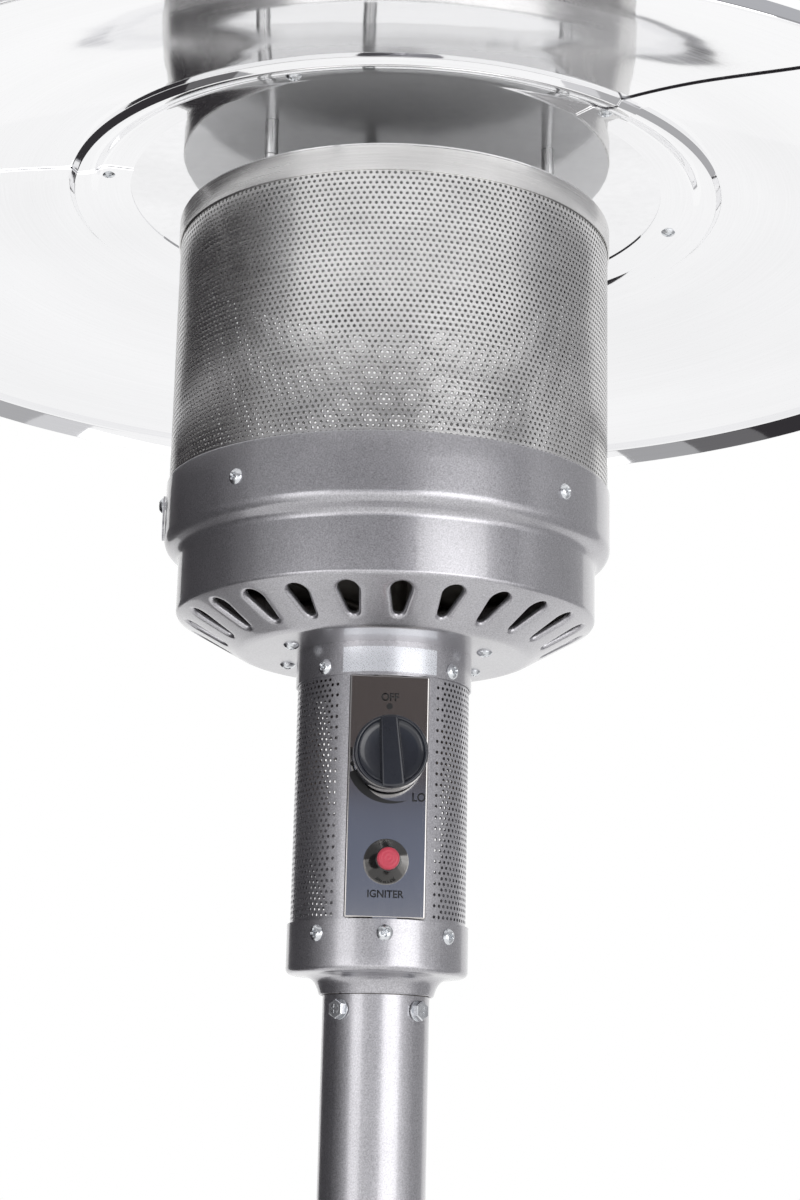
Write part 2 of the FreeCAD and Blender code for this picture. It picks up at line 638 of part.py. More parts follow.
def forward_hole(hole_radius, start, depth, height, x="0"):
    """A cutter for a hole that points to the front through a sheet."""
    cutter = solid("Cylinder", Radius=hole_radius, Height=f"({depth}) + 2 * cut_over")
    return forward(cutter, f"{start} - cut_over", height, x)


def upright_hole(azimuth, radius, hole_radius, bottom, depth):
    """A cutter for a vertical hole."""
    return upright(solid("Cylinder", Radius=hole_radius, Height=depth), azimuth, radius, bottom)


def joined(pieces):
    """Several pieces made one."""
    union = doc.addObject("Part::MultiFuse", "Union")
    union.Shapes = pieces
    return union


def group(pieces):
    """Several pieces kept as separate solids of one node."""
    bundle = doc.addObject("Part::Compound", "Group")
    bundle.Links = pieces
    return bundle


def without(base, cutters):
    """A piece with its cutters taken away."""
    cut = doc.addObject("Part::Cut", "Cut")
    cut.Base = base
    cut.Tool = cutters[0] if len(cutters) == 1 else group(cutters)
    return cut


def small_screw(lay, azimuth, seat, height, length="screw_length"):
    """Pan-head screw: the head stands on the seat and the shank goes inwards."""
    head = solid("Cone", Radius1="screw_head_dia / 2", Radius2="screw_top_dia / 2",
                 Height="screw_head_height")
    shank = solid("Cylinder", Radius="screw_dia / 2", Height=length)
    lay(head, azimuth, seat, height)
    lay(shank, azimuth, f"{seat} - ({length})", height)
    return joined([head, shank])


def screw_ring(label, azimuths, seat, height, length="screw_length"):
    """Pan-head screws that point at the axis, as separate solids."""
    screws = [small_screw(radial, azimuth, seat, height, length) for azimuth in azimuths]
    return keep(group(screws), label)


def hex_bolt(azimuth, seat, height, dia, flats, length):
    """Hexagon bolt that points at the axis, its washer on the seat."""
    washer = solid("Cylinder", Radius=f"{flats} * washer_part", Height="washer_thick")
    head = solid("Prism", Circumradius=f"{flats} / sqrt(3)", Height=f"{dia} * head_part")
    head.Polygon = 6
    shank = solid("Cylinder", Radius=f"{dia} / 2", Height=length)
    radial(washer, azimuth, seat, height)
    radial(head, azimuth, f"{seat} + washer_thick", height)
    radial(shank, azimuth, f"{seat} - ({length})", height)
    return joined([washer, head, shank])


def hex_nut(dia, flats, thick):
    """Hexagon nut along Z with its bore."""
    outside = solid("Prism", Circumradius=f"{flats} / sqrt(3)", Height=thick)
    outside.Polygon = 6
    return outside, solid("Cylinder", Radius=f"{dia} / 2 + thread_fit", Height=f"({thick}) + 2 * cut_over")


def base_pan():
    """Pressed steel pan, open below, that stands on its inturned rim, with a raised seat for the bottle."""
    inner = "base_r - base_rim"
    skirt = "base_r - base_wall"
    under_top = "base_height - base_wall"
    seat = "seat_dia / 2"
    corners = [(inner, "0"), ("base_r", "0"), ("base_r", "base_height"),
               (f"{seat} + seat_rise", "base_height"),
               (seat, "seat_top"), ("0", "seat_top"), ("0", "seat_top - base_wall"),
               (f"{seat} - base_wall / 2", "seat_top - base_wall"),
               (f"{seat} + seat_rise - base_wall / 2", under_top), (skirt, under_top),
               (skirt, "base_wall"), (inner, "base_wall")]
    pan = turned("base_pan", corners)
    rounded(pan, [("base_r", "base_height", "base_corner"), (skirt, under_top, "base_corner - base_wall")])
    hole = "foot_bolt_dia / 2 + hole_gap"
    cutters = [upright_hole(a, "foot_bolt_r", hole, f"{under_top} - cut_over",
                            "base_wall + 2 * cut_over") for a in BRACKETS]
    return keep(without(pan, cutters), "base_pan")


def base_ballast():
    """Cast ring that hangs under the pan's deck and keeps the heater upright."""
    top = "base_height - base_wall"
    bottom = f"{top} - ballast_thick"
    ring = turned("base_ballast", [("ballast_in", bottom), ("ballast_out", bottom), ("ballast_out", top),
                                   ("ballast_in", top)])
    hole = "foot_bolt_dia / 2 + hole_gap"
    cutters = [upright_hole(a, "foot_bolt_r", hole, f"{bottom} - cut_over",
                            "ballast_thick + 2 * cut_over") for a in BRACKETS]
    return keep(without(ring, cutters), "base_ballast")


def post_bracket(index, azimuth):
    """Flat bar bent into a foot, a leg beside the gas bottle, a slope and a tab on the post."""
    body = new_body(f"post_bracket_{index}")
    inner_leg = "bracket_leg - bracket_thick"
    foot_end = "bracket_leg - bracket_foot"
    slope = "knee_round"
    side = outline(body, "XZ_Plane", [
        (foot_end, "base_height"), ("bracket_leg", "base_height"), ("bracket_leg", "bracket_knee"),
        ("tab_face + bracket_thick", f"post_foot + {slope}"), ("tab_face + bracket_thick", "tab_top"),
        ("tab_face", "tab_top"), ("tab_face", "post_foot"), (inner_leg, f"bracket_knee - {slope}"),
        (inner_leg, "base_height + bracket_thick"), (foot_end, "base_height + bracket_thick")])
    pad = body.newObject("PartDesign::Pad", "Bar")
    pad.Profile = (side, [""])
    bind(pad, "Length", "bracket_width")
    pad.Midplane = True
    side.Visibility = False
    face_azimuth(body, azimuth)
    hole = "foot_bolt_dia / 2 + hole_gap"
    cutters = [upright_hole(azimuth, "foot_bolt_r", hole, "base_height - cut_over",
                            "bracket_thick + 2 * cut_over")]
    for height in tab_bolt_heights():
        cutters.append(radial_hole(azimuth, height, hole, "post_r - cut_over",
                                   "bracket_thick + 3 * cut_over"))
    return keep(without(body, cutters), f"post_bracket_{index}")


def tab_bolt_heights():
    """Rules for the heights of the two bolts in a bracket's tab."""
    middle = "(post_foot + tab_top) / 2 + tab_bolt_shift"
    return [f"{middle} - tab_bolt_pitch / 2", f"{middle} + tab_bolt_pitch / 2"]


def bracket_foot_bolts():
    """Three bolts down through foot, pan and ballast, each with its nut below."""
    reach = "bracket_thick + base_wall + ballast_thick + foot_nut + bolt_past_nut"
    seat = "base_height + bracket_thick"
    pieces = []
    for azimuth in BRACKETS:
        washer = solid("Cylinder", Radius="foot_bolt_flats * washer_part", Height="washer_thick")
        head = solid("Prism", Circumradius="foot_bolt_flats / sqrt(3)", Height="foot_bolt_dia * head_part")
        head.Polygon = 6
        shank = solid("Cylinder", Radius="foot_bolt_dia / 2", Height=reach)
        upright(washer, azimuth, "foot_bolt_r", seat)
        upright(head, azimuth, "foot_bolt_r", f"{seat} + washer_thick")
        upright(shank, azimuth, "foot_bolt_r", f"{seat} - ({reach})")
        pieces.append(joined([washer, head, shank]))
        nut, bore = hex_nut("foot_bolt_dia", "foot_bolt_flats", "foot_nut")
        below = "base_height - base_wall - ballast_thick - foot_nut"
        upright(nut, azimuth, "foot_bolt_r", below)
        upright(bore, azimuth, "foot_bolt_r", f"{below} - cut_over")
        pieces.append(without(nut, [bore]))
    return keep(group(pieces), "bracket_foot_bolts")


def bracket_post_bolts():
    """Two bolts through each tab into the post, with a nut inside the post."""
    seat = "tab_face + bracket_thick"
    length = f"{seat} - ({nut_seat('post_bore', 'foot_bolt_flats')}) + foot_nut + bolt_past_nut"
    pieces = []
    for azimuth in BRACKETS:
        for height in tab_bolt_heights():
            pieces.append(hex_bolt(azimuth, seat, height, "foot_bolt_dia", "foot_bolt_flats", length))
            pieces.append(inner_nut(azimuth, "post_bore", height, "foot_bolt_dia", "foot_bolt_flats",
                                    "foot_nut"))
    return keep(group(pieces), "bracket_post_bolts")


def post():
    """Painted steel tube with its bolt holes."""
    tube = turned("post", [("post_bore", "post_foot"), ("post_r", "post_foot"), ("post_r", "post_top"),
                           ("post_bore", "post_top")])
    cutters = []
    for azimuth in BRACKETS:
        for height in tab_bolt_heights():
            cutters.append(radial_hole(azimuth, height, "foot_bolt_dia / 2 + hole_gap",
                                       "post_bore - 3 * cut_over", "post_wall + 6 * cut_over"))
    for azimuth in POST_BOLTS:
        cutters.append(radial_hole(azimuth, "post_top - post_bolt_down", "post_bolt_dia / 2 + hole_gap",
                                   "post_bore - 3 * cut_over", "post_wall + 6 * cut_over"))
    return keep(without(tube, cutters), "post")


def tank_cover():
    """Sheet shell that stands on the base, and its lid with a hole for the post."""
    bore = "cover_r - cover_wall"
    shell = turned("tank_cover_shell", [(bore, "base_height"), ("cover_r", "base_height"),
                                        ("cover_r", "cover_top"),
                                        (bore, "cover_top")])
    keep(shell, "tank_cover_shell")
    top = "cover_top + lid_rise"
    corners = [("cover_r", "cover_top"), ("cover_r", "cover_top + 2 * cover_wall"), ("lid_hole + lid_top",
                                                                                     top),
               ("lid_hole + cover_wall", top), ("lid_hole + cover_wall",
                                                f"{top} + lid_collar"), ("lid_hole", f"{top} + lid_collar"),
               ("lid_hole", f"{top} - cover_wall"), ("lid_hole + lid_top", f"{top} - cover_wall"),
               ("cover_r - lid_seat", "cover_top")]
    keep(turned("tank_cover_lid", corners), "tank_cover_lid")


def wheel_bracket():
    """Strip on the pan's skirt with two ears that hold the axle."""
    inner = "base_r + sheet_gap"
    outer = f"{inner} + strip_thick"
    strip = turned("wheel_strip", [(inner, "strip_low"), (outer, "strip_low"), (outer, "strip_high"),
                                   (inner, "strip_high")], "strip_angle", REAR)
    ears = []
    for side in ("ear_inner", "-ear_inner - ear_thick"):
        start = f"sqrt(({inner}) * ({inner}) - ear_inner * ear_inner)"
        ears.append(box(side, start, "axle_height - ear_below", "ear_thick",
                        f"axle_back + ear_reach - {start}", "ear_below + ear_reach"))
    bracket = joined([strip] + ears)
    hole = solid("Cylinder", Radius="axle_dia / 2 + axle_hole_gap", Height="4 * ear_inner")
    hole.Placement = Placement(Vector(0, 0, 0), Rotation(Vector(0, 0, 1), Vector(1, 0, 0)))
    set_base(hole, "-2 * ear_inner", "axle_back", "axle_height")
    return keep(without(bracket, [hole]), "wheel_bracket")


def along_axle(thing, x):
    """Lays a piece made along Z on the axle's line, from x towards +X."""
    thing.Placement = Placement(Vector(0, 0, 0), Rotation(Vector(0, 0, 1), Vector(1, 0, 0)))
    return set_base(thing, x, "axle_back", "axle_height")


def wheel_axle():
    """Axle with a cap on each end."""
    rod = solid("Cylinder", Radius="axle_dia / 2", Height="2 * axle_half")
    keep(along_axle(rod, "-axle_half"), "wheel_axle")
    caps = []
    for side in (1, -1):
        outside = solid("Cylinder", Radius="cap_dia / 2", Height="cap_length")
        bore = solid("Cylinder", Radius="axle_dia / 2 + cap_fit", Height="cap_length")
        along_axle(outside, "cap_start" if side > 0 else "-cap_start - cap_length")
        along_axle(bore, "axle_half - cap_length" if side > 0 else "-axle_half")
        caps.append(without(outside, [bore]))
    return keep(group(caps), "axle_caps")


def wheel(label, side):
    """Moulded wheel: hub, web and tread in one piece."""
    body = new_body(label)
    half = "wheel_width / 2"
    bore = "axle_dia / 2 + axle_fit"
    rim = "wheel_dia / 2"
    tread = "wheel_dia / 2 - wheel_tread"
    web = "wheel_web / 2"
    sketch = outline(body, "XZ_Plane", [
        (bore, f"-{half}"), ("wheel_hub", f"-{half}"), ("wheel_hub", f"-{web}"), (tread, f"-{web}"),
        (tread, f"-{half}"), (rim, f"-{half}"), (rim, half), (tread, half), (tread, web), ("wheel_hub",
                                                                                           web),
        ("wheel_hub", half), (bore, half)])
    turn = body.newObject("PartDesign::Revolution", "Turn")
    turn.Profile = (sketch, [""])
    turn.ReferenceAxis = (sketch, ["V_Axis"])
    turn.Angle = FULL_TURN
    sketch.Visibility = False
    doc.recompute()
    rounded(body, [(rim, half, "wheel_edge"), (rim, f"-{half}", "wheel_edge")])
    return keep(along_axle(body, f"{side} * (wheel_inner + {half})"), label)


def nut_seat(bore, flats):
    """Rule for how far out a flat nut fits against the inside of a tube."""
    return f"sqrt({bore} * {bore} - {flats} * {flats} / 3) - sheet_gap"


def inner_nut(azimuth, bore, height, dia, flats, thick):
    """Nut on the inner end of a bolt that points at the axis."""
    start = f"{nut_seat(bore, flats)} - {thick}"
    nut, hole = hex_nut(dia, flats, thick)
    radial(nut, azimuth, start, height)
    radial(hole, azimuth, f"{start} - cut_over", height)
    return without(nut, [hole])


def post_top_bolts():
    """Four bolts that clamp post and sleeve together."""
    height = "post_top - post_bolt_down"
    length = f"post_r - ({nut_seat('sleeve_in', 'post_bolt_flats')}) + nut_thick + bolt_past_nut"
    pieces = []
    for azimuth in POST_BOLTS:
        pieces.append(hex_bolt(azimuth, "post_r", height, "post_bolt_dia", "post_bolt_flats", length))
        pieces.append(inner_nut(azimuth, "sleeve_in", height, "post_bolt_dia", "post_bolt_flats",
                                "nut_thick"))
    return keep(group(pieces), "post_top_bolts")


def head_sleeve():
    """Tube inside the post's top whose flange stands on the cup's floor."""
    low = "post_top - sleeve_length"
    high = "cup_inner_floor + sleeve_wall"
    sleeve = turned("head_sleeve", [("sleeve_in", low), ("sleeve_out", low),
                                    ("sleeve_out", "cup_inner_floor"),
                                    ("sleeve_flange", "cup_inner_floor"), ("sleeve_flange", high),
                                    ("sleeve_in", high)])
    height = "post_top - post_bolt_down"
    cutters = [radial_hole(a, height, "post_bolt_dia / 2 + hole_gap", "sleeve_in - 3 * cut_over",
                           "sleeve_wall + 5 * cut_over")
               for a in POST_BOLTS]
    return keep(without(sleeve, cutters), "head_sleeve")


def post_cup():
    """Spun cup that joins the thin post to the wide control tube."""
    bead_out = "neck_r + neck_bead"
    bead_low = "post_top + neck_bead_up"
    bead_high = f"{bead_low} + neck_bead * 2"
    under = "post_top + cup_floor"
    inner_neck = "neck_r - cup_wall"
    cup = turned("post_cup", [
        ("post_bore", "post_top"), ("neck_r", "post_top"), ("neck_r", bead_low), (bead_out, bead_low),
        (bead_out, bead_high), ("neck_r", bead_high), ("neck_r", under), ("cup_r", under), ("cup_r",
                                                                                            "cup_top"),
        ("cup_bore", "cup_top"), ("cup_bore", "cup_inner_floor"), (inner_neck, "cup_inner_floor"),
        (inner_neck, "post_top + cup_wall"), ("post_bore", "post_top + cup_wall")])
    rounded(cup, [
        ("neck_r", under, "cup_flare"), ("cup_r", under, "cup_corner"), ("cup_r", "cup_top", "cup_lip"),
        (bead_out, bead_low, "neck_bead_edge"), (bead_out, bead_high, "neck_bead_edge"),
        (inner_neck, "cup_inner_floor", "cup_flare + cup_wall")])
    cutters = [radial_hole(a, "cup_screw_height", "screw_dia / 2 + hole_gap", "cup_bore - 2 * cut_over",
                           "cup_wall + 4 * cut_over")
               for a in CUP_SCREWS]
    return keep(without(cup, cutters), "post_cup")


def control_shroud():
    """Perforated tube around the valve, with the window that the panel covers."""
    tube = turned("control_shroud", [("tube_bore", "cup_inner_floor"), ("tube_r", "cup_inner_floor"),
                                     ("tube_r", "flat_height - sheet_gap"), ("tube_bore",
                                                                             "flat_height - sheet_gap")])
    low = "panel_bottom - window_clear"
    window = box("-window_half", "-tube_r - cut_over", low, "2 * window_half", "tube_r",
                 "panel_height + 2 * window_clear")
    hole = "screw_dia / 2 + hole_gap"
    cutters = [window]
    for azimuth in CUP_SCREWS:
        cutters.append(radial_hole(azimuth, "cup_screw_height", hole, "tube_bore - 2 * cut_over",
                                   "tube_wall + 4 * cut_over"))
    for azimuth in COLLAR_SCREWS:
        cutters.append(radial_hole(azimuth, "collar_screw_height", hole, "tube_bore - 2 * cut_over",
                                   "tube_wall + 4 * cut_over"))
    return keep(without(tube, cutters), "control_shroud")


def control_panel():
    """Stainless panel with bent lips, and a tongue at each end that goes inside the tube."""
    body = new_body("control_panel")
    sketch = outline(body, "XZ_Plane", [("-panel_half", "panel_bottom"), ("panel_half", "panel_bottom"),
                                        ("panel_half", "panel_top"), ("-panel_half", "panel_top")])
    bind(sketch, "AttachmentOffset.Base.z", "panel_back")
    pad = body.newObject("PartDesign::Pad", "Block")
    pad.Profile = (sketch, [""])
    bind(pad, "Length", "panel_lip")
    sketch.Visibility = False
    doc.recompute()
    front = number("-panel_front")
    edges = []
    for i, edge in enumerate(pad.Shape.Edges, start=1):
        ys = [vertex.Y for vertex in edge.Vertexes]
        if max(ys) < front + 0.01 or max(ys) - min(ys) > 0.01:
            edges.append(f"Edge{i}")
    fillet = body.newObject("PartDesign::Fillet", "BentEdges")
    fillet.Base = (pad, edges)
    bind(fillet, "Radius", "panel_edge")
    doc.recompute()
    hollow = outline(body, "XZ_Plane", [
        ("-lip_inside", "panel_bottom + panel_sheet"), ("lip_inside", "panel_bottom + panel_sheet"),
        ("lip_inside", "panel_top - panel_sheet"), ("-lip_inside", "panel_top - panel_sheet")])
    bind(hollow, "AttachmentOffset.Base.z", "panel_back - cut_over")
    doc.recompute()
    pocket = body.newObject("PartDesign::Pocket", "Inside")
    pocket.Profile = (hollow, [""])
    bind(pocket, "Length", "panel_lip - panel_sheet + cut_over")
    pocket.Reversed = True
    hollow.Visibility = False
    doc.recompute()
    pieces = [body]
    for low in ("panel_bottom - tongue_length", "panel_top - panel_sheet"):
        pieces.append(box("-tongue_half", "-tongue_front", low, "2 * tongue_half", "panel_sheet",
                          "tongue_length + panel_sheet"))
    panel = joined(pieces)
    cutters = [
        forward_hole("stem_r + stem_hole_gap", "panel_inside", "panel_sheet", "knob_height"),
        forward_hole("barrel_neck + sheet_gap", "panel_inside", "panel_sheet", "igniter_height"),
        forward_hole("screw_dia / 2 + hole_gap", "tongue_front - panel_sheet", "panel_sheet",
                     "cup_screw_height")]
    for side in ("valve_screw_out", "-valve_screw_out"):
        cutters.append(forward_hole("screw_dia / 2 + hole_gap", "panel_inside", "panel_sheet",
                                    "knob_height", side))
    return keep(without(panel, cutters), "control_panel")


def valve_screws():
    """Two screws that hold the valve behind the panel; the knob hides their heads."""
    pieces = []
    for side in ("valve_screw_out", "-valve_screw_out"):
        head = solid("Cone", Radius1="screw_head_dia / 2", Radius2="screw_top_dia / 2",
                     Height="screw_head_height")
        shank = solid("Cylinder", Radius="screw_dia / 2", Height="screw_length")
        forward(head, "panel_front", "knob_height", side)
        forward(shank, "panel_front - screw_length", "knob_height", side)
        pieces.append(joined([head, shank]))
    return keep(group(pieces), "valve_screws")


def d_shaft(radius, length):
    """Round shaft with a flat, along Z."""
    shaft = solid("Cylinder", Radius=radius, Height=length)
    off = box(f"({radius}) - stem_flat", f"-({radius})", "-cut_over", f"{radius}", f"2 * ({radius})",
              f"({length}) + 2 * cut_over")
    return without(shaft, [off])


def valve_plug():
    """Brass plug that the stem turns."""
    plug = solid("Cylinder", Radius="plug_dia / 2 - stem_fit", Height="plug_length")
    depth = "plug_front - stem_back + knob_travel + cut_over"
    bore = d_shaft("stem_r + stem_fit", f"{depth} + cut_over")
    forward(plug, "plug_back", "knob_height")
    forward(bore, f"plug_front - ({depth})", "knob_height")
    return keep(without(plug, [bore]), "valve_plug")


def knob_stem():
    """Steel stem with a flat that slides in the plug."""
    stem = d_shaft("stem_r", "knob_back + stem_in_knob - stem_back")
    return keep(forward(stem, "stem_back", "knob_height"), "knob_stem")


def control_knob():
    """Moulded knob: skirt, dished face with a rim, hub and a grip bar from rim to rim."""
    skirt_in = "knob_r - knob_wall"
    hub = "stem_r + knob_wall"
    fit = "stem_r + knob_fit"
    face = "knob_depth - knob_dish"
    cavity = f"{face} - knob_wall"
    body = turned("control_knob", [
        (skirt_in, "0"), ("knob_r", "0"), ("knob_r", "knob_depth"), ("knob_r - knob_rim", "knob_depth"),
        ("knob_r - knob_rim - knob_dish", face), ("0", face), ("0", "stem_in_knob"), (fit, "stem_in_knob"),
        (fit, "knob_hub_in"), (hub, "knob_hub_in"), (hub, cavity), (skirt_in, cavity)])
    rounded(body, [("knob_r", "knob_depth", "knob_edge")])
    forward(body, "knob_back", "knob_height")
    bar = box("-knob_grip_width / 2", "-knob_front - knob_grip_proud", "knob_height - knob_r",
              "knob_grip_width",
              "knob_grip_proud + knob_dish + cut_over", "knob_dia")
    disc = forward(solid("Cylinder", Radius="knob_r - grip_in", Height="knob_depth * 2"), "knob_back",
                   "knob_height")
    trimmed = doc.addObject("Part::Common", "GripBar")
    trimmed.Base = bar
    trimmed.Tool = disc
    return keep(joined([body, trimmed]), "control_knob")


def gas_valve():
    """Valve body with the plug's bore and two bosses: gas comes in behind and leaves at the top."""
    half = "valve_width / 2"
    boss, bore = "boss_dia / 2", "pipe_dia / 4"
    depth = "boss_height + outlet_depth"
    block = box(f"-{half}", "-panel_inside", "valve_bottom", "valve_width", "valve_depth", "valve_height")
    outlet = solid("Cylinder", Radius=boss, Height="boss_height + cut_over")
    set_base(outlet, "0", "-outlet_y", "valve_top - cut_over")
    outlet_bore = solid("Cylinder", Radius=bore, Height=f"{depth} + cut_over")
    set_base(outlet_bore, "0", "-outlet_y", "valve_top - outlet_depth")
    inlet = solid("Cylinder", Radius=boss, Height="boss_height + cut_over")
    forward(inlet, "valve_back - boss_height", "inlet_height")
    inlet_bore = solid("Cylinder", Radius=bore, Height=depth)
    forward(inlet_bore, "valve_back - boss_height - cut_over", "inlet_height")
    plug_bore = solid("Cylinder", Radius="plug_dia / 2",
                      Height="plug_length + plug_set_back + plug_end_gap + cut_over")
    forward(plug_bore, "plug_back - plug_end_gap", "knob_height")
    cutters = [outlet_bore, inlet_bore, plug_bore]
    for side in ("valve_screw_out", "-valve_screw_out"):
        thread = solid("Cylinder", Radius="screw_dia / 2 + thread_fit", Height="screw_length")
        cutters.append(forward(thread, "panel_inside - screw_length", "knob_height", side))
    return keep(without(joined([block, outlet, inlet]), cutters), "gas_valve")


def valve_inlet_fitting():
    """Brass fitting for the gas hose, behind the valve."""
    front = "valve_back - boss_height"
    nut = solid("Prism", Circumradius="fitting_flats / sqrt(3)", Height="fitting_length / 2")
    nut.Polygon = 6
    forward(nut, f"{front} - fitting_length / 2", "inlet_height")
    spigot = solid("Cylinder", Radius="spigot_r", Height="fitting_length")
    forward(spigot, f"{front} - fitting_length", "inlet_height")
    bore = forward_hole("pipe_dia / 4", f"{front} - fitting_length", "fitting_length", "inlet_height")
    return keep(without(joined([nut, spigot]), [bore]), "valve_inlet_fitting")


def tilt_switch():
    """Small box behind the valve that shuts the gas off if the heater tips."""
    switch = box("-switch_width / 2", "-valve_back", "valve_top - switch_height - switch_down",
                 "switch_width",
                 "switch_depth", "switch_height")
    return keep(switch, "tilt_switch")


def bent_path(points, bend):
    """Straight runs through the points, joined by arcs."""
    pieces = []
    start = points[0]
    for before, corner, after in zip(points, points[1:], points[2:]):
        way_in = (corner - before).normalize()
        way_out = (after - corner).normalize()
        half_turn = way_in.getAngle(way_out) / 2
        cut = bend * math.tan(half_turn)
        first = corner - way_in * cut
        last = corner + way_out * cut
        inside = (way_out - way_in).normalize()
        centre = corner + inside * (bend / math.cos(half_turn))
        pieces.append(Part.LineSegment(start, first).toShape())
        pieces.append(Part.Arc(first, centre - inside * bend, last).toShape())
        start = last
    pieces.append(Part.LineSegment(start, points[-1]).toShape())
    return Part.Wire(pieces)


def bent_tube(label, corners, bend, radius, wall):
    """Tube bent along corners given by rules."""
    points = [Vector(number(x), number(y), number(z)) for x, y, z in corners]
    first_run = (points[1] - points[0]).normalize()
    last_run = (points[-1] - points[-2]).normalize()
    past = number("cut_over")
    longer = [points[0] - first_run * past] + points[1:-1] + [points[-1] + last_run * past]
    solids = []
    for run, size in ((points, radius), (longer, f"({radius}) - {wall}")):
        ring = Part.Wire([Part.makeCircle(number(size), run[0], first_run)])
        solids.append(bent_path(run, number(bend)).makePipeShell([ring], True, False))
    tube = doc.addObject("Part::Feature", label)
    tube.Shape = solids[0].cut(solids[1])
    return keep(tube, label)


def gas_line():
    """Pipe from the valve to the burner's axis, and the orifice on its end."""
    low = "boss_top + pipe_rise"
    corners = [("0", "-outlet_y", "boss_top"), ("0", "-outlet_y", low),
               ("0", "0", f"{low} + outlet_y / sqrt(3)"), ("0", "0", "orifice_bottom")]
    bent_tube("gas_pipe", corners, "pipe_bend", "pipe_dia / 2", "pipe_wall")
    body = solid("Prism", Circumradius="orifice_flats / sqrt(3)", Height="orifice_hex")
    body.Polygon = 6
    nose = solid("Cylinder", Radius="orifice_nose", Height="orifice_height")
    jet = solid("Cylinder", Radius="orifice_bore", Height="orifice_height + 2 * cut_over")
    set_base(body, "0", "0", "orifice_bottom")
    set_base(nose, "0", "0", "orifice_bottom")
    set_base(jet, "0", "0", "orifice_bottom - cut_over")
    return keep(without(joined([body, nose]), [jet]), "gas_orifice")


def venturi_tube():
    """Mixing tube with air windows, under the burner plate."""
    bore = "venturi_r - burner_plate_thick"
    tube = turned("venturi_tube", [
        ("orifice_flats / sqrt(3) + sheet_gap", "venturi_bottom"), ("venturi_r", "venturi_bottom"),
        ("venturi_r", "burner_plate - burner_plate_thick"), ("venturi_flange",
                                                             "burner_plate - burner_plate_thick"),
        ("venturi_flange", "burner_plate"), (bore, "burner_plate"), (bore,
                                                                     "venturi_bottom + burner_plate_thick"),
        ("orifice_flats / sqrt(3) + sheet_gap", "venturi_bottom + burner_plate_thick")])
    cutters = [radial_hole(azimuth, "venturi_bottom + venturi_r", "air_window", "venturi_r / 2",
                           "venturi_r")
               for azimuth in (FRONT, RIGHT, REAR, LEFT)]
    return keep(without(tube, cutters), "venturi_tube")


def burner_head():
    """Can with a row of flame ports."""
    sheet = "burner_plate_thick"
    top = "burner_deck + burner_height"
    bore = f"venturi_r - {sheet}"
    can = turned("burner_head", [
        (bore, "burner_deck"), ("burner_r", "burner_deck"), ("burner_r", top), ("0", top),
        ("0", f"{top} - {sheet}"), (f"burner_r - {sheet}", f"{top} - {sheet}"),
        (f"burner_r - {sheet}", f"burner_deck + {sheet}"), (bore, f"burner_deck + {sheet}")])
    count = int(number("port_count"))
    cutters = [radial_hole(FULL_TURN * i / count, "burner_deck + burner_height / 2", "port_radius",
                           "burner_r - 4 * cut_over", "8 * cut_over") for i in range(count)]
    return keep(without(can, cutters), "burner_head")


def burner_plate():
    """Pressed plate that closes the housing above the gas jet and carries the burner."""
    rim = "burner_rim_r"
    inner = "burner_rim_r - burner_rim_sheet"
    top = "burner_plate + burner_rim"
    plate = turned("burner_plate", [
        ("venturi_r - burner_plate_thick", "burner_plate"), (rim, "burner_plate"), (rim, top), (inner, top),
        (inner, "burner_deck"), ("venturi_r - burner_plate_thick", "burner_deck")])
    cutters = [radial_hole(LEFT, "match_height", "match_hole_dia / 2", f"{inner} - 3 * cut_over",
                           "8 * cut_over")]
    for azimuth in HOUSING_SCREWS:
        cutters.append(radial_hole(azimuth, "housing_screw_height", "screw_dia / 2 + hole_gap",
                                   f"{inner} - 3 * cut_over", "8 * cut_over"))
    for place, hole in (("pilot_out", "pilot_pipe / 2"), ("pilot_out - probe_step", "probe_r"),
                        ("pilot_out + probe_step", "probe_r")):
        cutters.append(upright_hole(LEFT, place, f"{hole} + hole_gap", "burner_plate - cut_over",
                                    "burner_plate_thick + 2 * cut_over"))
    return keep(without(plate, cutters), "burner_plate")


def pilot_parts():
    """Pilot burner with its tube, thermocouple and spark electrode beside it."""
    foot = solid("Cylinder", Radius="pilot_r", Height="pilot_height / 2")
    hood = solid("Cylinder", Radius="pilot_hood", Height="pilot_height")
    throat = solid("Cylinder", Radius="pilot_throat", Height="pilot_height")
    for piece, height in ((foot, "burner_deck"), (hood, "burner_deck"),
                          (throat, "burner_deck + pilot_pipe")):
        upright(piece, LEFT, "pilot_out", height)
    window_height = "burner_deck + pilot_height - pilot_window_down"
    window = radial_hole(LEFT, window_height, "pilot_pipe / 2", "pilot_out", "pilot_r * 2")
    keep(without(joined([foot, hood]), [throat, window]), "pilot_burner")
    corners = [("-pilot_pipe_side", "-outlet_y", "valve_top"), ("-pilot_pipe_side", "-outlet_y",
                                                                "cone_height - pilot_low"),
               ("-pilot_out", "0", "burner_plate - pilot_high"), ("-pilot_out", "0", "burner_deck")]
    bent_tube("pilot_tube", corners, "pipe_bend / 2", "pilot_pipe / 2", "pilot_wall")
    for label, out in (("thermocouple", "pilot_out - probe_step"), ("spark_electrode",
                                                                    "pilot_out + probe_step")):
        nut = solid("Prism", Circumradius="probe_r * 2", Height="probe_nut")
        nut.Polygon = 6
        rod = solid("Cylinder", Radius="probe_r", Height="probe_length")
        tip = solid("Cylinder", Radius="probe_r / 2", Height="probe_tip")
        upright(nut, LEFT, out, "burner_deck")
        upright(rod, LEFT, out, "burner_deck + pilot_height - probe_length")
        upright(tip, LEFT, out, "burner_deck + pilot_height")
        keep(joined([nut, rod, tip]), label)


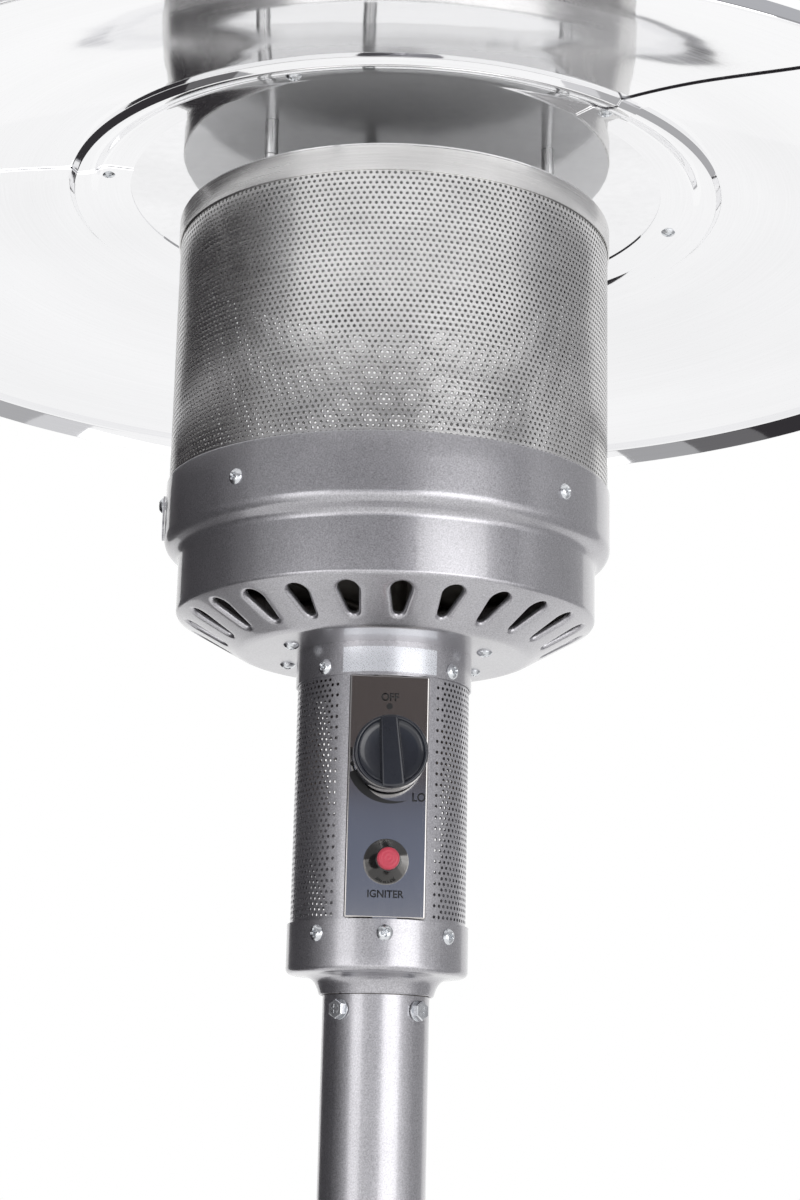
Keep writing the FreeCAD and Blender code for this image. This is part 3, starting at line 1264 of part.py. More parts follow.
def igniter():
    """Piezo igniter: barrel behind the panel, bezel screwed on its neck, and push button."""
    barrel = forward(solid("Cylinder", Radius="barrel_dia / 2", Height="barrel_length"),
                     "panel_inside - barrel_length", "igniter_height")
    neck = forward(solid("Cylinder", Radius="barrel_neck", Height="barrel_end - panel_inside + cut_over"),
                   "panel_inside - cut_over", "igniter_height")
    bore_back = "button_front - button_length - button_travel - 2 * cut_over"
    bore = forward(solid("Cylinder", Radius="button_r + button_fit",
                         Height=f"barrel_end - ({bore_back}) + cut_over"),
                   bore_back, "igniter_height")
    keep(without(joined([barrel, neck]), [bore]), "igniter_barrel")
    mouth = "button_r + 2 * button_fit"
    over_neck = "barrel_neck + bezel_fit"
    depth = "barrel_end - panel_front + sheet_gap"
    bezel = turned("igniter_bezel", [
        (over_neck, "0"), ("bezel_dia / 2", "0"), ("bezel_dia / 2", "bezel_band"),
        ("bezel_top_dia / 2", "bezel_depth"), (mouth, "bezel_depth"), (mouth, depth), (over_neck, depth)])
    keep(forward(bezel, "panel_front", "igniter_height"), "igniter_bezel")
    button = turned("igniter_button", [("0", "0"), ("button_r", "0"), ("button_r", "button_length"),
                                       ("0", "button_length")])
    rounded(button, [("button_r", "button_length", "button_edge")])
    keep(forward(button, "button_front - button_length", "igniter_height"), "igniter_button")


def head_flange():
    """Flange on the housing's floor with a neck that goes down into the control tube."""
    low = "flat_height - neck_depth"
    top = "flat_inside + flange_thick"
    flange = turned("head_flange", [("neck_in", low), ("neck_out", low), ("neck_out", "flat_inside"),
                                    ("flange_out", "flat_inside"), ("flange_out", top), ("neck_in", top)])
    cutters = [box("-tongue_half - 2 * cut_over", "-tube_r", f"{low} - cut_over",
                   "2 * tongue_half + 4 * cut_over",
                   "tube_r / 4", f"panel_top + tongue_length + 3 * cut_over - ({low})")]
    for azimuth in COLLAR_SCREWS:
        cutters.append(radial_hole(azimuth, "collar_screw_height", "screw_dia / 2 + hole_gap",
                                   "neck_in - 3 * cut_over",
                                   "8 * cut_over"))
    for azimuth in UNDER_SCREWS:
        cutters.append(upright_hole(azimuth, "under_screw_out", "screw_dia / 2 + hole_gap",
                                    "flat_inside - cut_over",
                                    "flange_thick + 2 * cut_over"))
    return keep(without(flange, cutters), "head_flange")


def collar():
    """Painted band under the housing, with its blank plate."""
    ring = turned("collar", [("collar_bore", "collar_bottom"), ("collar_r", "collar_bottom"),
                             ("collar_r", "flat_height"), ("collar_bore", "flat_height")])
    cutters = [radial_hole(a, "collar_screw_height", "screw_dia / 2 + hole_gap",
                           "collar_bore - 2 * cut_over",
                           "6 * cut_over")
               for a in COLLAR_SCREWS]
    keep(without(ring, cutters), "collar")
    low = "collar_bottom + plate_lift"
    inner = "collar_r + plate_gap"
    outer = f"{inner} + plate_thick"
    keep(turned("collar_plate", [(inner, low), (outer, low), (outer, f"{low} + plate_height"),
                                 (inner, f"{low} + plate_height")], "plate_angle", FRONT), "collar_plate")


def fix_circle_arc(sketch, centre_y, radius, start, end):
    """Adds an arc about a point on the sketch's vertical axis."""
    circle = Part.Circle(Vector(0, number(centre_y), 0), Vector(0, 0, 1), number(radius))
    arc = sketch.addGeometry(Part.ArcOfCircle(circle, start, end))
    sketch.addConstraint(Sketcher.Constraint("PointOnObject", arc, 3, -2))
    index = sketch.addConstraint(Sketcher.Constraint("DistanceY", -1, 1, arc, 3, number(centre_y)))
    bind(sketch, f"Constraints[{index}]", centre_y)
    index = sketch.addConstraint(Sketcher.Constraint("Radius", arc, number(radius)))
    bind(sketch, f"Constraints[{index}]", radius)
    return arc


def teardrop(body, role, low_centre, low_radius, high_centre, high_radius):
    """Outline of two round ends of different radius with tangent sides, along the vertical axis."""
    sketch = body.newObject("Sketcher::SketchObject", "Teardrop")
    sketch.AttachmentSupport = (origin_of(body, role), [""])
    sketch.MapMode = "FlatFace"
    span = number(f"({high_centre}) - ({low_centre})")
    tilt = math.asin((number(low_radius) - number(high_radius)) / span)
    high = fix_circle_arc(sketch, high_centre, high_radius, tilt, math.pi - tilt)
    low = fix_circle_arc(sketch, low_centre, low_radius, math.pi - tilt, 2 * math.pi + tilt)
    sides = []
    for first, second in (((high, 2), (low, 1)), ((low, 2), (high, 1))):
        start = sketch.getPoint(*first)
        end = sketch.getPoint(*second)
        sides.append(sketch.addGeometry(Part.LineSegment(start, end)))
        sketch.addConstraint(Sketcher.Constraint("Tangent", sides[-1], 1, *first))
        sketch.addConstraint(Sketcher.Constraint("Tangent", sides[-1], 2, *second))
    return sketch


def burner_housing():
    """Pressed and painted housing: flat, slotted cone, lower band, step and upper band."""
    wall = "housing_wall"
    hole = "neck_out + hole_gap"
    lip_in = "screen_r + sheet_gap"
    band_top = "flat_height + low_band_top"
    step_top = f"{band_top} + step_rise"
    body = turned("burner_housing", [
        (hole, "flat_height"), ("flat_r", "flat_height"), ("low_r", "cone_height"), ("low_r", band_top),
        ("housing_r", step_top), ("housing_r", "housing_top"), (lip_in, "housing_top"),
        (lip_in, f"housing_top - {wall}"), (f"housing_r - {wall}", f"housing_top - {wall}"),
        (f"housing_r - {wall}", f"{step_top} + step_mitre"),
        (f"low_r - {wall}", f"{band_top} + step_mitre"),
        (f"low_r - {wall}", "cone_height + cone_band_mitre"), ("flat_r - cone_mitre", "flat_inside"),
        (hole, "flat_inside")])
    rounded(body, [("housing_r", step_top, "step_round"),
                   (f"housing_r - {wall}", f"{step_top} + step_mitre", f"step_round - {wall}"),
                   ("low_r", "cone_height", "cone_round"), ("flat_r", "flat_height", "flat_round"),
                   ("housing_r", "housing_top", "housing_edge")])
    slot = teardrop(body, "XY_Plane", "slot_inner", "slot_narrow", "slot_outer", "slot_wide")
    bind(slot, "AttachmentOffset.Base.z", "flat_height - cut_over")
    doc.recompute()
    pocket = body.newObject("PartDesign::Pocket", "Slot")
    pocket.Profile = (slot, [""])
    bind(pocket, "Length", "cone_rise + 6 * cut_over")
    pocket.Reversed = True
    slot.Visibility = False
    doc.recompute()
    ring = body.newObject("PartDesign::PolarPattern", "Slots")
    ring.Originals = [pocket]
    ring.Axis = (origin_of(body, "Z_Axis"), [""])
    ring.Angle = FULL_TURN
    bind(ring, "Occurrences", "slot_count")
    body.Tip = ring
    doc.recompute()
    screw_hole = "screw_dia / 2 + hole_gap"
    cutters = [radial_hole(LEFT, "match_height", "match_hole_dia / 2", "housing_r - 5 * cut_over",
                           "10 * cut_over"),
               radial_hole(LEFT, "pivot_height", screw_hole, "housing_r - 2 * cut_over", "5 * cut_over")]
    for azimuth in HOUSING_SCREWS:
        cutters.append(radial_hole(azimuth, "housing_screw_height", screw_hole, "housing_r - 3 * cut_over",
                                   "6 * cut_over"))
    for azimuth in UNDER_SCREWS:
        cutters.append(upright_hole(azimuth, "under_screw_out", screw_hole, "flat_height - 2 * cut_over",
                                    "6 * cut_over"))
    return keep(without(body, cutters), "burner_housing")


def underside_screws():
    """Four screws up through the housing's floor into the flange."""
    pieces = []
    for azimuth in UNDER_SCREWS:
        head = solid("Cone", Radius1="screw_top_dia / 2", Radius2="screw_head_dia / 2",
                     Height="screw_head_height")
        shank = solid("Cylinder", Radius="screw_dia / 2", Height="screw_length")
        upright(head, azimuth, "under_screw_out", "flat_height - screw_head_height")
        upright(shank, azimuth, "under_screw_out", "flat_height")
        pieces.append(joined([head, shank]))
    return keep(group(pieces), "underside_screws")


def match_cover():
    """Small plate that swings away from the match hole, and the screw that it hangs on."""
    body = new_body("match_hole_cover")
    sketch = teardrop(body, "YZ_Plane", "match_height", "match_cover_wide", "pivot_height",
                      "match_cover_narrow")
    bind(sketch, "AttachmentOffset.Base.z", "-match_plane - match_cover_thick")
    pad = body.newObject("PartDesign::Pad", "Plate")
    pad.Profile = (sketch, [""])
    bind(pad, "Length", "match_cover_thick")
    sketch.Visibility = False
    doc.recompute()
    hole = radial_hole(LEFT, "pivot_height", "screw_dia / 2 + match_fit", "match_plane - cut_over",
                       "4 * cut_over")
    keep(without(body, [hole]), "match_hole_cover")
    seat = "match_plane + match_cover_thick + sheet_gap"
    length = f"{seat} - screen_r - hole_gap"
    screw_ring("match_cover_screw", [LEFT], seat, "pivot_height", length)


def emitter():
    """Perforated screen with its top ring and the deck that closes it."""
    tube = turned("emitter_screen", [("screen_bore", "screen_bottom"), ("screen_r", "screen_bottom"),
                                     ("screen_r", "screen_top"), ("screen_bore", "screen_top")])
    cutters = [radial_hole(LEFT, "match_height", "match_hole_dia / 2", "screen_bore - 3 * cut_over",
                           "8 * cut_over")]
    for azimuth in HOUSING_SCREWS:
        cutters.append(radial_hole(azimuth, "housing_screw_height", "screw_dia / 2 + hole_gap",
                                   "screen_bore - 3 * cut_over", "8 * cut_over"))
    keep(without(tube, cutters), "emitter_screen")
    flange_in = "ring_r - ring_flange"
    ring = turned("emitter_top_ring", [
        ("ring_bore", "ring_bottom"), ("ring_r", "ring_bottom"), ("ring_r", "ring_top"), (flange_in,
                                                                                          "ring_top"),
        (flange_in, "ring_top - ring_sheet"), ("ring_bore", "ring_top - ring_sheet")])
    rounded(ring, [("ring_r", "ring_top", "ring_edge")])
    keep(ring, "emitter_top_ring")
    deck = turned("emitter_deck", [("0", "ring_top"), ("ring_r - ring_sheet", "ring_top"),
                                   ("ring_r - ring_sheet", "deck_top"),
                                   ("0", "deck_top")])
    cutters = [upright_hole(a, "rod_out", "rod_dia / 2 + hole_gap", "ring_top - cut_over",
                            "deck_thick + 2 * cut_over")
               for a in rod_azimuths()]
    keep(without(deck, cutters), "emitter_deck")


def rod_azimuths():
    """Azimuths of the three reflector rods."""
    return [ROD_START + i * FULL_TURN / 3 for i in range(3)]


def reflector_rods():
    """Three rods that carry the reflector, each with a shoulder on the deck and a stud on top."""
    pieces = []
    for azimuth in rod_azimuths():
        low = "ring_top - rod_below"
        rod = upright(solid("Cylinder", Radius="rod_dia / 2", Height=f"plate_bottom - ({low})"), azimuth,
                      "rod_out",
                      low)
        shoulder = upright(solid("Cylinder", Radius="rod_shoulder_r", Height="rod_shoulder"), azimuth,
                           "rod_out", "deck_top")
        stud = upright(solid("Cylinder", Radius="rod_stud_dia / 2", Height="rod_stud_length + cut_over"),
                       azimuth,
                       "rod_out", "plate_bottom - cut_over")
        pieces.append(joined([rod, shoulder, stud]))
    return keep(group(pieces), "reflector_rods")


def rod_nuts():
    """Washers and dome nuts above the reflector, and the nuts below the deck."""
    pieces = []
    washer_top = "plate_top + rod_washer"
    for azimuth in rod_azimuths():
        disc = upright(solid("Cylinder", Radius="rod_washer_r", Height="rod_washer"), azimuth, "rod_out",
                       "plate_top")
        washer_hole = upright_hole(azimuth, "rod_out", "rod_stud_dia / 2 + hole_gap",
                                   "plate_top - cut_over",
                                   "rod_washer + 2 * cut_over")
        pieces.append(without(disc, [washer_hole]))
        nut, bore = hex_nut("rod_stud_dia", "post_bolt_flats", "nut_thick")
        upright(nut, azimuth, "rod_out", washer_top)
        shaft = upright(solid("Cylinder", Radius="dome_r", Height="dome_up"), azimuth, "rod_out",
                        washer_top)
        dome = upright(solid("Sphere", Radius="dome_r"), azimuth, "rod_out", f"{washer_top} + dome_up")
        thread = upright_hole(azimuth, "rod_out", "rod_stud_dia / 2 + thread_fit", "plate_top",
                              "rod_stud_length")
        pieces.append(without(joined([nut, shaft, dome]), [thread]))
        lower, lower_bore = hex_nut("rod_dia", "foot_bolt_flats", "nut_thick")
        upright(lower, azimuth, "rod_out", "ring_top - nut_thick")
        upright(lower_bore, azimuth, "rod_out", "ring_top - nut_thick - cut_over")
        pieces.append(without(lower, [lower_bore]))
    return keep(group(pieces), "rod_nuts")


def screw_azimuths():
    """Azimuths of the six reflector screws."""
    return [REFLECTOR_FRONT + i * FULL_TURN / 6 for i in range(6)]


def reflector_center_plate():
    """Flat plate on the panels' inner flanges."""
    plate = turned("reflector_center_plate", [
        ("0", "plate_bottom"), ("centre_plate_dia / 2", "plate_bottom"), ("centre_plate_dia / 2",
                                                                          "plate_top"),
        ("0", "plate_top")])
    cutters = [upright_hole(a, "rod_out", "rod_stud_dia / 2 + hole_gap", "plate_bottom - cut_over",
                            "4 * cut_over")
               for a in rod_azimuths()]
    cutters += [upright_hole(a, "reflector_screw_out", "screw_dia / 2 + hole_gap",
                             "plate_bottom - cut_over",
                            "4 * cut_over")
                for a in screw_azimuths()]
    return keep(without(plate, cutters), "reflector_center_plate")


def lap_strip(label, azimuth, angle, gap):
    """Part of the strip under the seam between two panels, hung below their cone."""
    slope = "reflector_fall / (fold_r - cone_start_r)"
    start, end = "cone_start_r + lap_end", "fold_r - lap_fold"
    high = f"cone_top - lap_end * {slope} - {gap}"
    low = f"fold_height + lap_fold * {slope} - {gap}"
    depth = f"reflector_sheet + lap_gap - {gap}"
    return turned(label, [(start, high), (end, low), (end, f"{low} - ({depth})"),
                          (start, f"{high} - ({depth})")],
                  angle, azimuth)


def reflector_panel(index, azimuth, laps):
    """One bent sector of the reflector; laps are the sides (+1, -1) that reach under the next panel."""
    label = f"reflector_panel_{index}"
    sheet = "reflector_sheet"
    hem_top = "rim_bottom + reflector_hem"
    hem_r = "reflector_r - rim_thick - reflector_hem * reflector_rim_width / reflector_rim_drop"
    sector = turned(label, [
        ("hole_r", "flange_height"), ("flange_flat_r", "flange_height"), ("bead_r", "bead_height"),
        ("cone_start_r", "cone_top"), ("fold_r", "fold_height"), (hem_r, hem_top),
        (f"{hem_r} - rim_thick", hem_top), ("reflector_r - 2 * rim_thick", "rim_bottom"),
        ("reflector_r", "rim_bottom"), (f"fold_r + {sheet} / 2", f"fold_height + {sheet}"),
        ("cone_start_r", f"cone_top + {sheet}"), ("bead_r", f"bead_height + {sheet}"),
        ("flange_flat_r", f"flange_height + {sheet}"), ("hole_r", f"flange_height + {sheet}")],
        "360 / panel_count - panel_gap", azimuth)
    pieces = [sector]
    half = FULL_TURN / number("panel_count") / 2
    own = number("lap_angle * lap_own_part")
    past = number("lap_angle") - own
    edge_gap = number("panel_gap") / 2
    for side in laps:
        edge = azimuth + side * (half - edge_gap)
        pieces.append(lap_strip(f"{label}_lap", edge - side * own / 2, "lap_angle * lap_own_part", "0"))
        pieces.append(lap_strip(f"{label}_lap", edge + side * (past - own) / 2, "lap_angle", "lap_gap"))
    whole = joined(pieces) if laps else sector
    cutters = [upright_hole(a, "reflector_screw_out", "screw_dia / 2 + hole_gap",
                            "flange_height - cut_over",
                            "4 * cut_over")
               for a in screw_azimuths()]
    return keep(without(whole, cutters), label)


def reflector_screws():
    """Six screws up through flange and centre plate, with nuts on top."""
    pieces = []
    for azimuth in screw_azimuths():
        head = solid("Cone", Radius1="screw_top_dia / 2", Radius2="screw_head_dia / 2",
                     Height="screw_head_height")
        shank = solid("Cylinder", Radius="screw_dia / 2", Height="screw_length")
        upright(head, azimuth, "reflector_screw_out", "flange_height - screw_head_height")
        upright(shank, azimuth, "reflector_screw_out", "flange_height")
        pieces.append(joined([head, shank]))
        nut, bore = hex_nut("screw_dia", "screw_nut_flats", "screw_nut")
        upright(nut, azimuth, "reflector_screw_out", "plate_top")
        upright(bore, azimuth, "reflector_screw_out", "plate_top - cut_over")
        pieces.append(without(nut, [bore]))
    return keep(group(pieces), "reflector_screws")


def build():
    """Makes every piece, from the floor upwards."""
    base_pan()
    base_ballast()
    for index, azimuth in enumerate(BRACKETS, start=1):
        post_bracket(index, azimuth)
    bracket_foot_bolts()
    bracket_post_bolts()
    wheel_bracket()
    wheel_axle()
    wheel("wheel_right", 1)
    wheel("wheel_left", -1)
    tank_cover()
    post()
    post_top_bolts()
    head_sleeve()
    post_cup()
    screw_ring("cup_screws", CUP_SCREWS, "cup_r", "cup_screw_height")
    control_shroud()
    control_panel()
    valve_screws()
    valve_plug()
    knob_stem()
    control_knob()
    gas_valve()
    valve_inlet_fitting()
    tilt_switch()
    gas_line()
    venturi_tube()
    burner_head()
    burner_plate()
    pilot_parts()
    igniter()
    head_flange()
    collar()
    screw_ring("collar_screws", COLLAR_SCREWS, "collar_r", "collar_screw_height")
    burner_housing()
    underside_screws()
    screw_ring("housing_screws", HOUSING_SCREWS, "housing_r", "housing_screw_height")
    match_cover()
    emitter()
    reflector_rods()
    rod_nuts()
    reflector_center_plate()
    reflector_panel(1, REFLECTOR_FRONT, ())
    reflector_panel(2, REFLECTOR_FRONT + FULL_TURN / 3, (-1,))
    reflector_panel(3, REFLECTOR_FRONT - FULL_TURN / 3, (1, -1))
    reflector_screws()


def check_and_write():
    """Stops if anything failed, then writes one file for each piece."""
    doc.recompute()
    for thing in doc.Objects:
        if "Invalid" in thing.State or "Error" in thing.State:
            raise RuntimeError(f"{thing.Name} of {thing.Label} has state {thing.State}")
    os.makedirs("parts", exist_ok=True)
    for node in nodes:
        shape = node.Shape
        if shape.isNull() or not shape.isValid():
            raise RuntimeError(f"{node.Label} has no valid shape")
        shape.exportStep(f"parts/{node.Label}.step")
    print(len(nodes), "pieces")


fill_tables()
build()
check_and_write()
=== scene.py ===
# %% [markdown]
# # A patio heater, seen from below
# The finished model comes in as a fixed frame: every plain part is already the right size and in the right
# place. This lesson gives each part the surface of the real one, and swaps the parts that need finer
# shape, such as perforated sheet, pressed slots and cross-head screws, for surfaces worked out with arrays.

# %% Load the frame
import json
import math

import bpy
import numpy as np
from mathutils import Matrix, Vector


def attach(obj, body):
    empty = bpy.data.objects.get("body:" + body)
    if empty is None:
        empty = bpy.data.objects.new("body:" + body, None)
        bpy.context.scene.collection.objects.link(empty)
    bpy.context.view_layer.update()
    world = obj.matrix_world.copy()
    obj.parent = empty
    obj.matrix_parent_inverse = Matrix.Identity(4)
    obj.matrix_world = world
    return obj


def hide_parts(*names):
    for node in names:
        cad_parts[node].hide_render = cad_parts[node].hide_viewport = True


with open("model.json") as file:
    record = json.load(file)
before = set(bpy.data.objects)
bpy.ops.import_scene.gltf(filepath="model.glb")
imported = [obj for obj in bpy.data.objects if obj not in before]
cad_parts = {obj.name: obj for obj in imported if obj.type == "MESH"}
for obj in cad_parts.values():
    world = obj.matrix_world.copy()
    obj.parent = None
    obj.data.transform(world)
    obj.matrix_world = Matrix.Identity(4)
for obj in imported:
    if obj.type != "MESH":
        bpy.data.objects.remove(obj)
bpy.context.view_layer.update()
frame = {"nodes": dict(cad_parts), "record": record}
nodes = frame["nodes"]

# %% [markdown]
# ## Camera
# The photograph is taken from a little over a metre away, at eye height, looking up at the head. The lens
# and the place of the camera come from the known sizes of the screen, the tube and the reflector, so the
# ellipses in the picture have the right openness. The long side of the picture is the sensor's 36 mm.

# %% Camera at the photograph's place
EYE = Vector((-0.09806, -1.30416, 1.6755))
HEADING, TILT, ROLL = (math.radians(degrees) for degrees in (4.683, 13.34212, 1.324954))
FOCAL_PIXELS, LONG_SIDE_PIXELS, SENSOR_MM = 2187, 1200, 36
ahead = Vector((math.sin(HEADING) * math.cos(TILT), math.cos(HEADING) * math.cos(TILT), math.sin(TILT)))
level = ahead.cross(Vector((0, 0, 1))).normalized()
over = level.cross(ahead)
right = level * math.cos(ROLL) + over * math.sin(ROLL)
top = over * math.cos(ROLL) - level * math.sin(ROLL)
lens = bpy.data.cameras.new("camera")
lens.sensor_width, lens.lens = SENSOR_MM, FOCAL_PIXELS * SENSOR_MM / LONG_SIDE_PIXELS
lens.clip_start = 0.02
camera = bpy.data.objects.new("camera", lens)
camera.matrix_world = Matrix((right, top, -ahead)).transposed().to_4x4()
camera.location = EYE
bpy.context.scene.collection.objects.link(camera)
bpy.context.scene.camera = camera
bpy.context.scene.view_settings.view_transform = "Standard"
print("camera", [round(v, 3) for v in camera.location])

# %% [markdown]
# ## Shapes from arrays
# Most of the heater is round sheet metal, so most shapes are a profile carried round the vertical axis.
# Heights are given in millimetres above the post's top end and azimuths in degrees from the front towards
# the right, because that is how the parts were measured. Each surface is a grid of points made in one go.

# %% Units and the profile carried round the axis
MM = 0.001
POST_TOP = 1745.0


def grid_faces(rows, columns):
    """Quads between neighbours on a grid of rows x columns points."""
    first = (np.arange(rows - 1)[:, None] * columns + np.arange(columns - 1)).ravel()
    return np.stack([first, first + columns, first + columns + 1, first + 1], 1)


def around(radius, azimuth, height):
    """Metres from radius and height in mm and azimuth in degrees: x = r sin a, y = -r cos a."""
    radius, turn, height = np.broadcast_arrays(radius, np.radians(azimuth), height)
    return np.stack([radius * np.sin(turn), -radius * np.cos(turn), POST_TOP + height], -1) * MM


def carried(profile, steps=192, start=0.0, end=360.0):
    """Profile points (radius, height) at steps + 1 azimuths from start to end."""
    radius, height = np.array(profile, float).T
    azimuth = np.linspace(start, end, steps + 1)[:, None]
    return around(radius, azimuth, height).reshape(-1, 3), grid_faces(steps + 1, len(radius))


# %% Closing, turning outwards and joining
def welded(points, faces):
    """Points closer than a thousandth of a millimetre become one, which closes seams and poles."""
    _, first, back = np.unique(np.round(points * 1e6).astype(np.int64), axis=0, return_index=True,
                               return_inverse=True)
    return points[first], back.reshape(-1)[faces]


def volume(points, faces):
    """Signed volume: the sum over each quad's two triangles of a . (b x c) / 6."""
    a, b, c, d = (points[faces[:, k]] for k in range(4))
    return (np.einsum("ij,ij->", a, np.cross(b, c)) + np.einsum("ij,ij->", a, np.cross(c, d))) / 6


def closed(points, faces):
    """A closed shape with its faces outwards: where the volume comes out negative, every face is turned."""
    points, faces = welded(points, faces)
    return points, faces if volume(points - points.mean(0), faces) > 0 else faces[:, ::-1]


def normals(points, faces):
    """The unit normal of each point, as the sum of the normals of the faces round it."""
    a, b, c, d = (points[faces[:, k]] for k in range(4))
    flat = np.cross(c - a, d - b)
    total = np.zeros_like(points)
    for k in range(4):
        np.add.at(total, faces[:, k], flat)
    return total / np.maximum(np.linalg.norm(total, axis=1, keepdims=True), 1e-12)


def walled(face_side, back_side, faces):
    """Two matching sheets closed into one: both sides, and a strip of wall along every free edge."""
    count = len(face_side)
    sides = np.concatenate([faces[:, [k, (k + 1) % 4]] for k in range(4)])
    sides = sides[sides[:, 0] != sides[:, 1]]
    free = sides[~np.isin(sides[:, 0] * count + sides[:, 1], sides[:, 1] * count + sides[:, 0])]
    wall = np.stack([free[:, 1], free[:, 0], free[:, 0] + count, free[:, 1] + count], 1)
    return np.concatenate([face_side, back_side]), np.concatenate([faces, faces[:, ::-1] + count, wall])


def thick(points, faces, wall):
    """A welded sheet given a wall in mm on the side away from its normals."""
    points, faces = welded(points, faces)
    return closed(*walled(points, points - normals(points, faces) * wall * MM, faces))


def ring(profile, steps=192):
    """A closed profile carried the whole way round."""
    return closed(*carried(list(profile) + [profile[0]], steps))


def about_z(profile, steps):
    """A closed profile of (radius, height) in mm turned about a small shape's own Z."""
    points, faces = ring(profile, steps)
    return points - np.array([0, 0, POST_TOP]) * MM, faces


def together(shapes):
    """Several closed shapes as one set of points and faces."""
    offset = np.cumsum([0] + [len(points) for points, _ in shapes])
    return (np.concatenate([points for points, _ in shapes]),
            np.concatenate([faces + start for (_, faces), start in zip(shapes, offset)]))


def arc(centre, radius, start, end, steps=6):
    """Profile points on a circle: centre + radius (cos, sin), with the angles in degrees."""
    turn = np.radians(np.linspace(start, end, steps + 1))
    return list(zip(centre[0] + radius * np.cos(turn), centre[1] + radius * np.sin(turn)))


# %% Putting a small shape where it belongs
def outwards(shape, azimuths, radius, height):
    """Copies of a shape whose own Z points out from the axis, its Y up, at each azimuth."""
    points, faces = shape
    copies = []
    for azimuth in azimuths:
        turn = math.radians(azimuth)
        cos, sin = math.cos(turn), math.sin(turn)
        axes = np.array([[cos, sin, 0], [0, 0, 1], [sin, -cos, 0]])
        copies.append((points @ axes + around(radius, azimuth, height), faces))
    return copies


def downwards(shape, azimuths, radius, height):
    """Copies of a shape whose own Z points down, at each azimuth and radius."""
    points, faces = shape
    return [(points * np.array([1, -1, -1]) + around(radius, azimuth, height), faces) for azimuth in azimuths]


def forwards(shape, x, y, height):
    """A shape whose own Z points to the front, at x, y and a height in mm."""
    points, faces = shape
    moved = np.stack([points[:, 0], -points[:, 2], points[:, 1]], 1)
    return moved + np.array([x, y, POST_TOP + height]) * MM, faces


# %% Making the mesh and putting it in the model
made = []


def piece(name, shape, body, node_names, material_name, sharp=34.0):
    """Makes the object from points and quads; a quad with a repeated corner becomes a triangle.

    sharp is the angle in degrees from which an edge shows, and material_name is the key of the finish that
    the piece gets below, a record's material slot name.
    """
    points, faces = shape
    repeated = faces == np.roll(faces, -1, axis=1)
    full = faces[~repeated.any(1)].tolist()
    folded = faces[repeated.sum(1) == 1]
    keep = ~repeated[repeated.sum(1) == 1]
    triangles = folded[keep].reshape(-1, 3).tolist()
    mesh = bpy.data.meshes.new(name)
    mesh.from_pydata(points.tolist(), [], full + triangles)
    mesh.polygons.foreach_set("use_smooth", np.ones(len(mesh.polygons), bool))
    mesh.set_sharp_from_angle(angle=math.radians(sharp))
    mesh.update()
    thing = bpy.data.objects.new(name, mesh)
    bpy.context.scene.collection.objects.link(thing)
    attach(thing, body)
    if node_names:
        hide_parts(*node_names)
    made.append((thing, material_name))
    print(name, len(mesh.polygons), "faces")


# %% [markdown]
# ## Perforated sheet
# The burner screen and the control tube are rolled from punched sheet: round holes in a triangular pattern.
# Cutting twelve thousand holes with booleans would take minutes and leave long thin faces. Here each hole is
# one cell of a grid: a six-sided opening joined to six points on the cell's edge. Columns are half a pitch
# wide, so a row that starts half a pitch further on still shares its points with the rows above and below.

# %% A sheet of cells with holes
def pierced(columns, lines, cells, hole, radius, left_out=(), only=None):
    """Azimuths, heights and quads of a rolled sheet; cells are (column, row) pairs that get a hole."""
    rows = len(lines) - 1
    spare = np.append(columns, 2 * columns[-1] - columns[-2])
    azimuth, height = (grid.ravel() for grid in np.meshgrid(spare, lines, indexing="ij"))
    column, row = np.asarray(cells).T
    taken = np.zeros((len(columns) - 1, rows), bool)
    taken[column, row] = True
    taken[(column + 1) % taken.shape[0], row] = True
    for place in left_out:
        taken[place] = True
    plain = np.argwhere(~taken)
    if only is not None:
        plain = plain[(plain[:, 0] >= only[0]) & (plain[:, 0] < only[1])]
        mine = (column >= only[0]) & (column < only[1])
        column, row = column[mine], row[mine]

    def at(i, j):
        return i * (rows + 1) + j

    i, j = plain.T
    flat = np.stack([at(i, j), at(i + 1, j), at(i + 1, j + 1), at(i, j + 1)], 1)
    turn = np.radians([210, 270, 330, 30, 90, 150])
    mid_azimuth, mid_height = spare[column + 1], (lines[row] + lines[row + 1]) / 2
    hole_azimuth = mid_azimuth[:, None] + np.degrees(hole / radius) * np.cos(turn)
    hole_height = mid_height[:, None] + hole * np.sin(turn)
    edge = np.stack([at(column, row), at(column + 1, row), at(column + 2, row), at(column + 2, row + 1),
                     at(column + 1, row + 1), at(column, row + 1)], 1)
    inner = len(azimuth) + np.arange(hole_azimuth.size).reshape(-1, 6)
    rim = np.stack([edge, np.roll(edge, -1, 1), np.roll(inner, -1, 1), inner], -1).reshape(-1, 4)
    azimuth = np.concatenate([azimuth, hole_azimuth.ravel()])
    height = np.concatenate([height, hole_height.ravel()])
    faces = np.concatenate([flat, rim])
    used, faces = np.unique(faces, return_inverse=True)
    return azimuth[used], height[used], faces.reshape(-1, 4)


def rolled_sheet(azimuth, height, faces, radius, wall):
    """The cells on a cylinder, with a second side wall mm further in and the edges of all holes closed."""
    outside = around(radius, azimuth, height)
    inside = around(radius - wall, azimuth, height)
    both = np.concatenate([outside, inside], 1)
    _, first, back = np.unique(np.round(both * 1e6).astype(np.int64), axis=0, return_index=True,
                               return_inverse=True)
    return closed(*walled(outside[first], inside[first], back.reshape(-1)[faces]))


# %% [markdown]
# ### Burner screen
# The screen is 271 mm across and has 240 holes in each of its 51 rows: a pitch of 3.55 mm with 2.1 mm holes.
# It is made in three sectors, so that none of them gets too heavy, and the zigzag ends of the sectors fit
# into each other.

